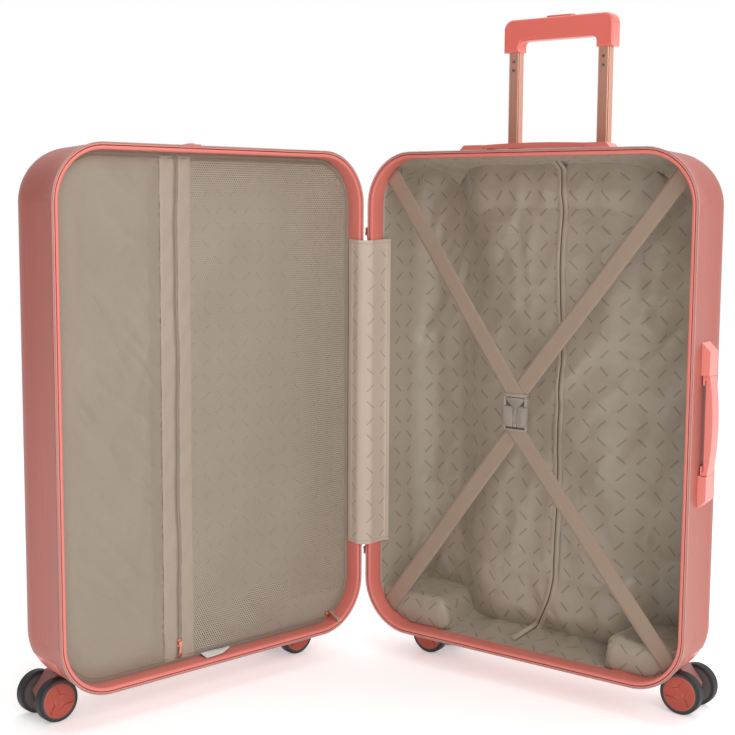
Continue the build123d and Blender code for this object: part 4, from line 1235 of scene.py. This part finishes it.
net_finish, tree, shader = new_finish("divider_net")
net = node(tree, "ShaderNodeGroup", node_tree=net_group)
net.inputs["Pitch"].default_value = 3.4 * mm
net.inputs["Hole"].default_value = 0.30
net_place = node(tree, "ShaderNodeTexCoord").outputs["Object"]
patches = node(tree, "ShaderNodeTexNoise", {"Vector": net_place, "Scale": 12.0, "Detail": 3.0})
tree.links.new(
    mixed(tree, patches.outputs[0], (0.46, 0.39, 0.315, 1.0), (0.38, 0.315, 0.25, 1.0)),
    shader.inputs["Base Color"],
)
tree.links.new(net.outputs["Thread"], shader.inputs["Alpha"])
relief = node(tree, "ShaderNodeBump", {"Height": net.outputs["Height"], "Distance": 0.0005})
tree.links.new(relief.outputs[0], shader.inputs["Normal"])
shader.inputs["Roughness"].default_value = 0.6
net_inset = 14 * mm
net_end = pocket_low.x - pocket_tape + 2 * mm
net_bm = cut_sheet(rim_left + net_inset, net_end, net_inset, 70, 170)
flat_net = cloth_area(net_bm)
for vert in net_bm.verts:
    x, y, z = vert.co
    inner = min(rim_inset(x, y)[0] - net_inset, net_end - x)
    ease = min(max(inner / (30 * mm), 0.0), 1.0)
    lift = 1.6 * folds(x * 0.7 + y * 0.35, y * 0.6, 0.13, 9.2)
    vert.co.z = -panel_depth + (0.4 + lift * ease) * mm
lay(net_bm, "lid")
net_piece = piece(
    "divider_net_cloth", net_bm, net_finish, "lid", ("divider_mesh",), sharp=180
)

# Edge zip of the divider: flat tape sewn along the rim band with the coil in its middle, and a
# corded edge where the cloth begins.
edge_tape_profile = ((9.1, 23.3), (9.1, 22.7), (11.2, 22.6), (11.5, 23.1), (13.4, 23.1), (13.7, 22.6),
                     (15.4, 22.5), (16.1, 21.8), (17.2, 21.8), (17.8, 22.6), (17.6, 23.3), (16.0, 23.6))
edge_cloth = cloth("edge_tape", (0.30, 0.25, 0.19), (0.25, 0.205, 0.155), threads=900.0, roughness=0.6)
edge_bm = sweep_rim(edge_tape_profile)
lay_flat(edge_bm, {vert: vert.co.xy for vert in edge_bm.verts})
lay(edge_bm, "lid")
piece("divider_edge_tape", edge_bm, edge_cloth, "lid", ("divider_zip",), sharp=50)
edge_coil = repeat_along(
    coil_turn(2.6 * mm, 1.2 * mm, coil_pitch), *ring_path(12.45 * mm, 22.7 * mm), coil_pitch
)
lay(edge_coil, "lid")
piece("divider_edge_coil", edge_coil, coil_taupe, "lid")

# Pocket zip: coil and tapes down the middle of the divider, a little wavy where the cloth pulls.
tape_dark = cloth("zip_tape_dark", (0.30, 0.24, 0.18), (0.25, 0.20, 0.15), threads=900.0, roughness=0.6)
pocket_tape_bm = cut_sheet(pocket_low.x - 2 * mm, pocket_high.x + 2 * mm, 15 * mm, 4, 200)
pocket_coil = repeat_along(
    coil_turn(3.0 * mm, 1.4 * mm, coil_pitch),
    *line_path((pocket_x, rim_bottom + 16 * mm), (pocket_x, rim_top - 16 * mm)), coil_pitch,
)
for zip_bm, rise in ((pocket_tape_bm, 0.7), (pocket_coil, 1.4)):
    for vert in zip_bm.verts:
        vert.co.x += zip_wave(vert.co.y)
        vert.co.z += -panel_depth + rise * mm
    lay(zip_bm, "lid")
piece("pocket_zip_tape", pocket_tape_bm, tape_dark, "lid", ("pocket_zip",), sharp=60)
piece("pocket_zip_coil", pocket_coil, coil_taupe, "lid")

# Zip sliders: die-cast bodies in rose gold with a bridge, and a flat waisted pull that hangs
# from it with a hole at the top.
rose_gold = moulded(
    "rose_gold_casting", (0.80, 0.36, 0.26), (0.68, 0.28, 0.20), 0.24, (300.0, 300.0, 300.0),
    0.00003, metallic=1.0, wear=0.5,
)
bright_metal = moulded(
    "bright_pull_metal", (0.86, 0.84, 0.82), (0.76, 0.74, 0.72), 0.22, (300.0, 300.0, 300.0),
    0.00002, metallic=0.9, wear=0.3,
)


def slider_body(bm, length, wide, thick):
    """Slider along y: two shields with a neck between them, a flared nose and a bridge."""
    outline = [(-0.5, -0.32), (-0.42, -0.5), (0.42, -0.5), (0.5, -0.32), (0.34, 0.1), (0.4, 0.42),
               (0.24, 0.5), (-0.24, 0.5), (-0.4, 0.42), (-0.34, 0.1)]
    points = [(x * wide, y * length) for x, y in outline]
    panel(bm, points, 0.0, thick * 0.30, thick * 0.08)
    panel(bm, [(x * 0.9, y * 0.9) for x, y in points], thick * 0.44, thick * 0.66, thick * 0.07)
    panel(bm, rectangle(-wide * 0.12, wide * 0.12, -length * 0.1, length * 0.34), thick * 0.2, thick * 0.5,
          thick * 0.05)
    arch = [(-length * 0.34, 0.0), (-length * 0.26, thick * 0.3), (length * 0.26, thick * 0.3),
            (length * 0.34, 0.0), (length * 0.2, 0.0), (length * 0.16, thick * 0.16),
            (-length * 0.16, thick * 0.16), (-length * 0.2, 0.0)]
    before = set(bm.verts)
    panel(bm, arch, -wide * 0.09, wide * 0.09, thick * 0.04)
    added = [vert for vert in bm.verts if vert not in before]
    for vert in added:
        y, z, x = vert.co
        vert.co = (x, y, z + thick * 0.66)
    bmesh.ops.reverse_faces(bm, faces=list({face for vert in added for face in vert.link_faces}))


def pull_tab(bm, length, wide, thick):
    """Pull that hangs down y from the origin: an eye, a waist and a broad rounded end."""
    outline = [(-0.36, 0.0), (-0.5, -0.08), (-0.42, -0.26), (-0.27, -0.42), (-0.36, -0.66), (-0.5, -0.9),
               (-0.36, -1.0), (0.36, -1.0), (0.5, -0.9), (0.36, -0.66), (0.27, -0.42), (0.42, -0.26),
               (0.5, -0.08), (0.36, 0.0)]
    panel(bm, [(x * wide, y * length) for x, y in outline], -thick / 2, thick / 2, thick * 0.24)


def join(bm, added):
    """Adds a second mesh to the first and lets go of it."""
    mesh = bpy.data.meshes.new("joined")
    added.to_mesh(mesh)
    added.free()
    bm.from_mesh(mesh)


def lean(bm, degrees, axis):
    matrix = Matrix.Rotation(math.radians(degrees), 3, axis)
    bmesh.ops.rotate(bm, verts=bm.verts[:], cent=(0, 0, 0), matrix=matrix)


slider_low, slider_high = box_in("lid", "pocket_zip_slider")
pocket_slider_bm = bmesh.new()
slider_body(pocket_slider_bm, 11.5 * mm, 8.6 * mm, 4.0 * mm)
pull_bm = bmesh.new()
pull_tab(pull_bm, 23.0 * mm, 6.0 * mm, 1.3 * mm)
lean(pull_bm, 5, "X")
bmesh.ops.translate(pull_bm, verts=pull_bm.verts[:], vec=(0, 3.0 * mm, 4.4 * mm))
join(pocket_slider_bm, pull_bm)
bmesh.ops.translate(
    pocket_slider_bm, verts=pocket_slider_bm.verts[:],
    vec=(pocket_x + 0.4 * mm, slider_high.y - 6.2 * mm, slider_low.z + 0.2 * mm),
)
lay(pocket_slider_bm, "lid")
piece("pocket_slider_and_pull", pocket_slider_bm, rose_gold, "pocket_slider",
      ("pocket_zip_slider",))

edge_low, edge_high = box_in("lid", "divider_zip_slider")
edge_slider_bm = bmesh.new()
slider_body(edge_slider_bm, 12.0 * mm, 8.8 * mm, 4.0 * mm)
lean(edge_slider_bm, -78, "Z")
edge_place = Vector(((edge_low.x + edge_high.x) / 2, edge_low.y + 4.6 * mm, -22.6 * mm))
bmesh.ops.translate(edge_slider_bm, verts=edge_slider_bm.verts[:], vec=edge_place)
lay(edge_slider_bm, "lid")
piece("edge_slider_body", edge_slider_bm, rose_gold, "lid", ("divider_zip_slider",))
edge_pull_bm = bmesh.new()
panel(edge_pull_bm, [(-3.1 * mm, 0), (-3.1 * mm, -22 * mm), (3.1 * mm, -22 * mm), (3.1 * mm, 0)],
      -0.7 * mm, 0.7 * mm, 0.4 * mm)
lean(edge_pull_bm, -62, "X")
pull_place = edge_place + Vector((0, 5.5 * mm, 7.5 * mm))
bmesh.ops.translate(edge_pull_bm, verts=edge_pull_bm.verts[:], vec=pull_place)
lay(edge_pull_bm, "lid")
piece("edge_slider_pull", edge_pull_bm, bright_metal, "lid")

parked_low, parked_high = box_in("main", "rim_zip_sliders")
rim_sliders_bm = bmesh.new()
for centre, way in ((parked_high.y - 6 * mm, -1), (parked_low.y + 6 * mm, 1)):
    one_bm = bmesh.new()
    slider_body(one_bm, 12.0 * mm, 6.4 * mm, 3.6 * mm)
    pull_bm = bmesh.new()
    pull_tab(pull_bm, 19.0 * mm, 5.0 * mm, 1.0 * mm)
    bmesh.ops.translate(pull_bm, verts=pull_bm.verts[:], vec=(0, -4.5 * mm, 3.2 * mm))
    join(one_bm, pull_bm)
    turn = Matrix.Rotation(math.radians(90), 4, "Y")
    if way > 0:
        turn = turn @ Matrix.Rotation(math.radians(180), 4, "Z")
    one_bm.transform(turn)
    bmesh.ops.translate(
        one_bm, verts=one_bm.verts[:],
        vec=(parked_low.x + 0.1 * mm, centre, (parked_low.z + parked_high.z) / 2),
    )
    join(rim_sliders_bm, one_bm)
lay(rim_sliders_bm, "main")
piece("main_zip_sliders", rim_sliders_bm, rose_gold, "main_half", ("rim_zip_sliders",))

# Care label: a blank white satin tab, folded once and caught in the divider's bottom edge.
label_low, label_high = box_in("lid", "care_label")
label_cut = (0.042, 0.032)
label_cloth = cloth("label_white_satin", (0.80, 0.79, 0.76), (0.72, 0.71, 0.68), roughness=0.45)
label_bm = bmesh.new()
bmesh.ops.create_grid(label_bm, x_segments=16, y_segments=10, size=0.5)
lay_flat(label_bm, {
    vert: (vert.co.x * label_cut[0], vert.co.y * label_cut[1]) for vert in label_bm.verts
})
label_length = label_high.x - label_low.x
label_reach = label_high.z - label_low.z
for vert in label_bm.verts:
    across, out = vert.co.x + 0.5, vert.co.y + 0.5
    corner = max(0.0, 0.35 - across) * out * 22
    vert.co = (
        label_low.x + across * label_length,
        label_high.y + (1.2 + 1.6 * math.sin(out * 2.6 + across * 2.0) + corner * 0.5) * mm,
        label_low.z + label_reach * (0.03 + 0.94 * out) - corner * 0.4 * mm,
    )
lay(label_bm, "lid")
care_tab = piece("care_label_cloth", label_bm, label_cloth, "lid", ("care_label",), sharp=180)
fold = care_tab.modifiers.new("fold", "SOLIDIFY")
fold.thickness = 0.5 * mm

# Hinge flap: a stiffened strip of the lining satin with a turned and stitched hem, painted paler
# than the lining as painted light. It hangs from the lid's band, covers the gap at the hinge and tucks into
# the main half.
flap_low, flap_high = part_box("hinge_flap")
flap_satin_painted_light, tree, shader = new_finish("flap_satin_painted_light")
flap_plan = []
for half, inset, depth in (
    ("main", 19.0, 35.0), ("main", 14.5, 24.0), ("main", 11.9, 8.0), ("main", 12.2, -0.6),
    ("lid", 12.2, -0.6), ("lid", 11.9, 8.0), ("lid", 12.0, 20.8),
):
    spot = Matrix.Translation(hinge) @ half_frames[half] @ Vector((inset * mm, 0, -depth * mm))
    flap_plan.append(Vector((spot.x, spot.y)))
for easing in range(3):
    eased_plan = [flap_plan[0]]
    for first, second in zip(flap_plan, flap_plan[1:]):
        eased_plan += [first.lerp(second, 0.25), first.lerp(second, 0.75)]
    flap_plan = eased_plan + [flap_plan[-1]]
flap_run = [0.0]
for first, second in zip(flap_plan, flap_plan[1:]):
    flap_run.append(flap_run[-1] + (second - first).length)
flap_columns, flap_rows = 44, 120
flap_bm = bmesh.new()
bmesh.ops.create_grid(flap_bm, x_segments=flap_columns, y_segments=flap_rows, size=0.5)
flap_length = flap_run[-1]
flap_height = flap_high.z - flap_low.z
flat = {}
for vert in flap_bm.verts:
    along = (vert.co.x + 0.5) * flap_length
    up = (vert.co.y + 0.5) * flap_height
    index = max(count for count, run in enumerate(flap_run) if run <= along + 1e-9)
    index = min(index, len(flap_plan) - 2)
    share = (along - flap_run[index]) / (flap_run[index + 1] - flap_run[index])
    spot = flap_plan[index].lerp(flap_plan[index + 1], share)
    run = (flap_plan[index + 1] - flap_plan[index]).normalized()
    out = Vector((run.y, -run.x)) * -1
    edge = min(along, flap_length - along, up, flap_height - up)
    hem = 1.1 / (1 + math.exp((edge - 6.5 * mm) / (0.5 * mm)))
    slack = min(edge / (25 * mm), 1.0) * (1.0 + 1.0 * folds(along * 0.7, up * 0.45, 0.05, 12.0))
    wavy = 0.9 * mm * math.sin(along * 90 + 1.0) * (abs(vert.co.y) * 2) ** 8
    lift = (hem + slack) * mm
    flat[vert] = (along, up)
    vert.co = (spot.x + out.x * lift, spot.y + out.y * lift, flap_low.z + up + wavy)
lay_flat(flap_bm, flat)
weave = node(tree, "ShaderNodeGroup", node_tree=weave_group)
weave.inputs["Threads"].default_value = 1400.0
dashes = node(tree, "ShaderNodeGroup", node_tree=dash_group)
dashes.inputs["Pitch"].default_value = 24.5 * mm
dashes.inputs["Length"].default_value = 0.40
dashes.inputs["Width"].default_value = 0.058
flap_place = node(tree, "ShaderNodeTexCoord").outputs["Object"]
patches = node(tree, "ShaderNodeTexNoise", {"Vector": flap_place, "Scale": 9.0, "Detail": 4.0})
# The flap's tone is paler than the lining satin's: painted light for the flap standing in brighter light.
tone = mixed(tree, patches.outputs[0], (0.57, 0.46, 0.37, 1.0), (0.49, 0.39, 0.31, 1.0))
printed = maths(tree, "MULTIPLY", dashes.outputs["Mask"], 0.5)
tone = mixed(tree, printed, tone, (0.24, 0.18, 0.13, 1.0))
stitch_rows = ((0, 5.0 * mm), (0, flap_length - 5.0 * mm), (1, 5.0 * mm), (1, flap_height - 5.0 * mm))
tone = stitched(tree, tone, stitch_rows, (0.36, 0.27, 0.20))
tree.links.new(tone, shader.inputs["Base Color"])
relief = node(tree, "ShaderNodeBump", {"Height": weave.outputs["Height"], "Distance": 0.00005})
tree.links.new(relief.outputs[0], shader.inputs["Normal"])
shader.inputs["Roughness"].default_value = 0.42
shader.inputs["Sheen Weight"].default_value = 0.3
flap = piece("hinge_flap_cloth", flap_bm, flap_satin_painted_light, None, ("hinge_flap",), sharp=180)
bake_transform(flap)
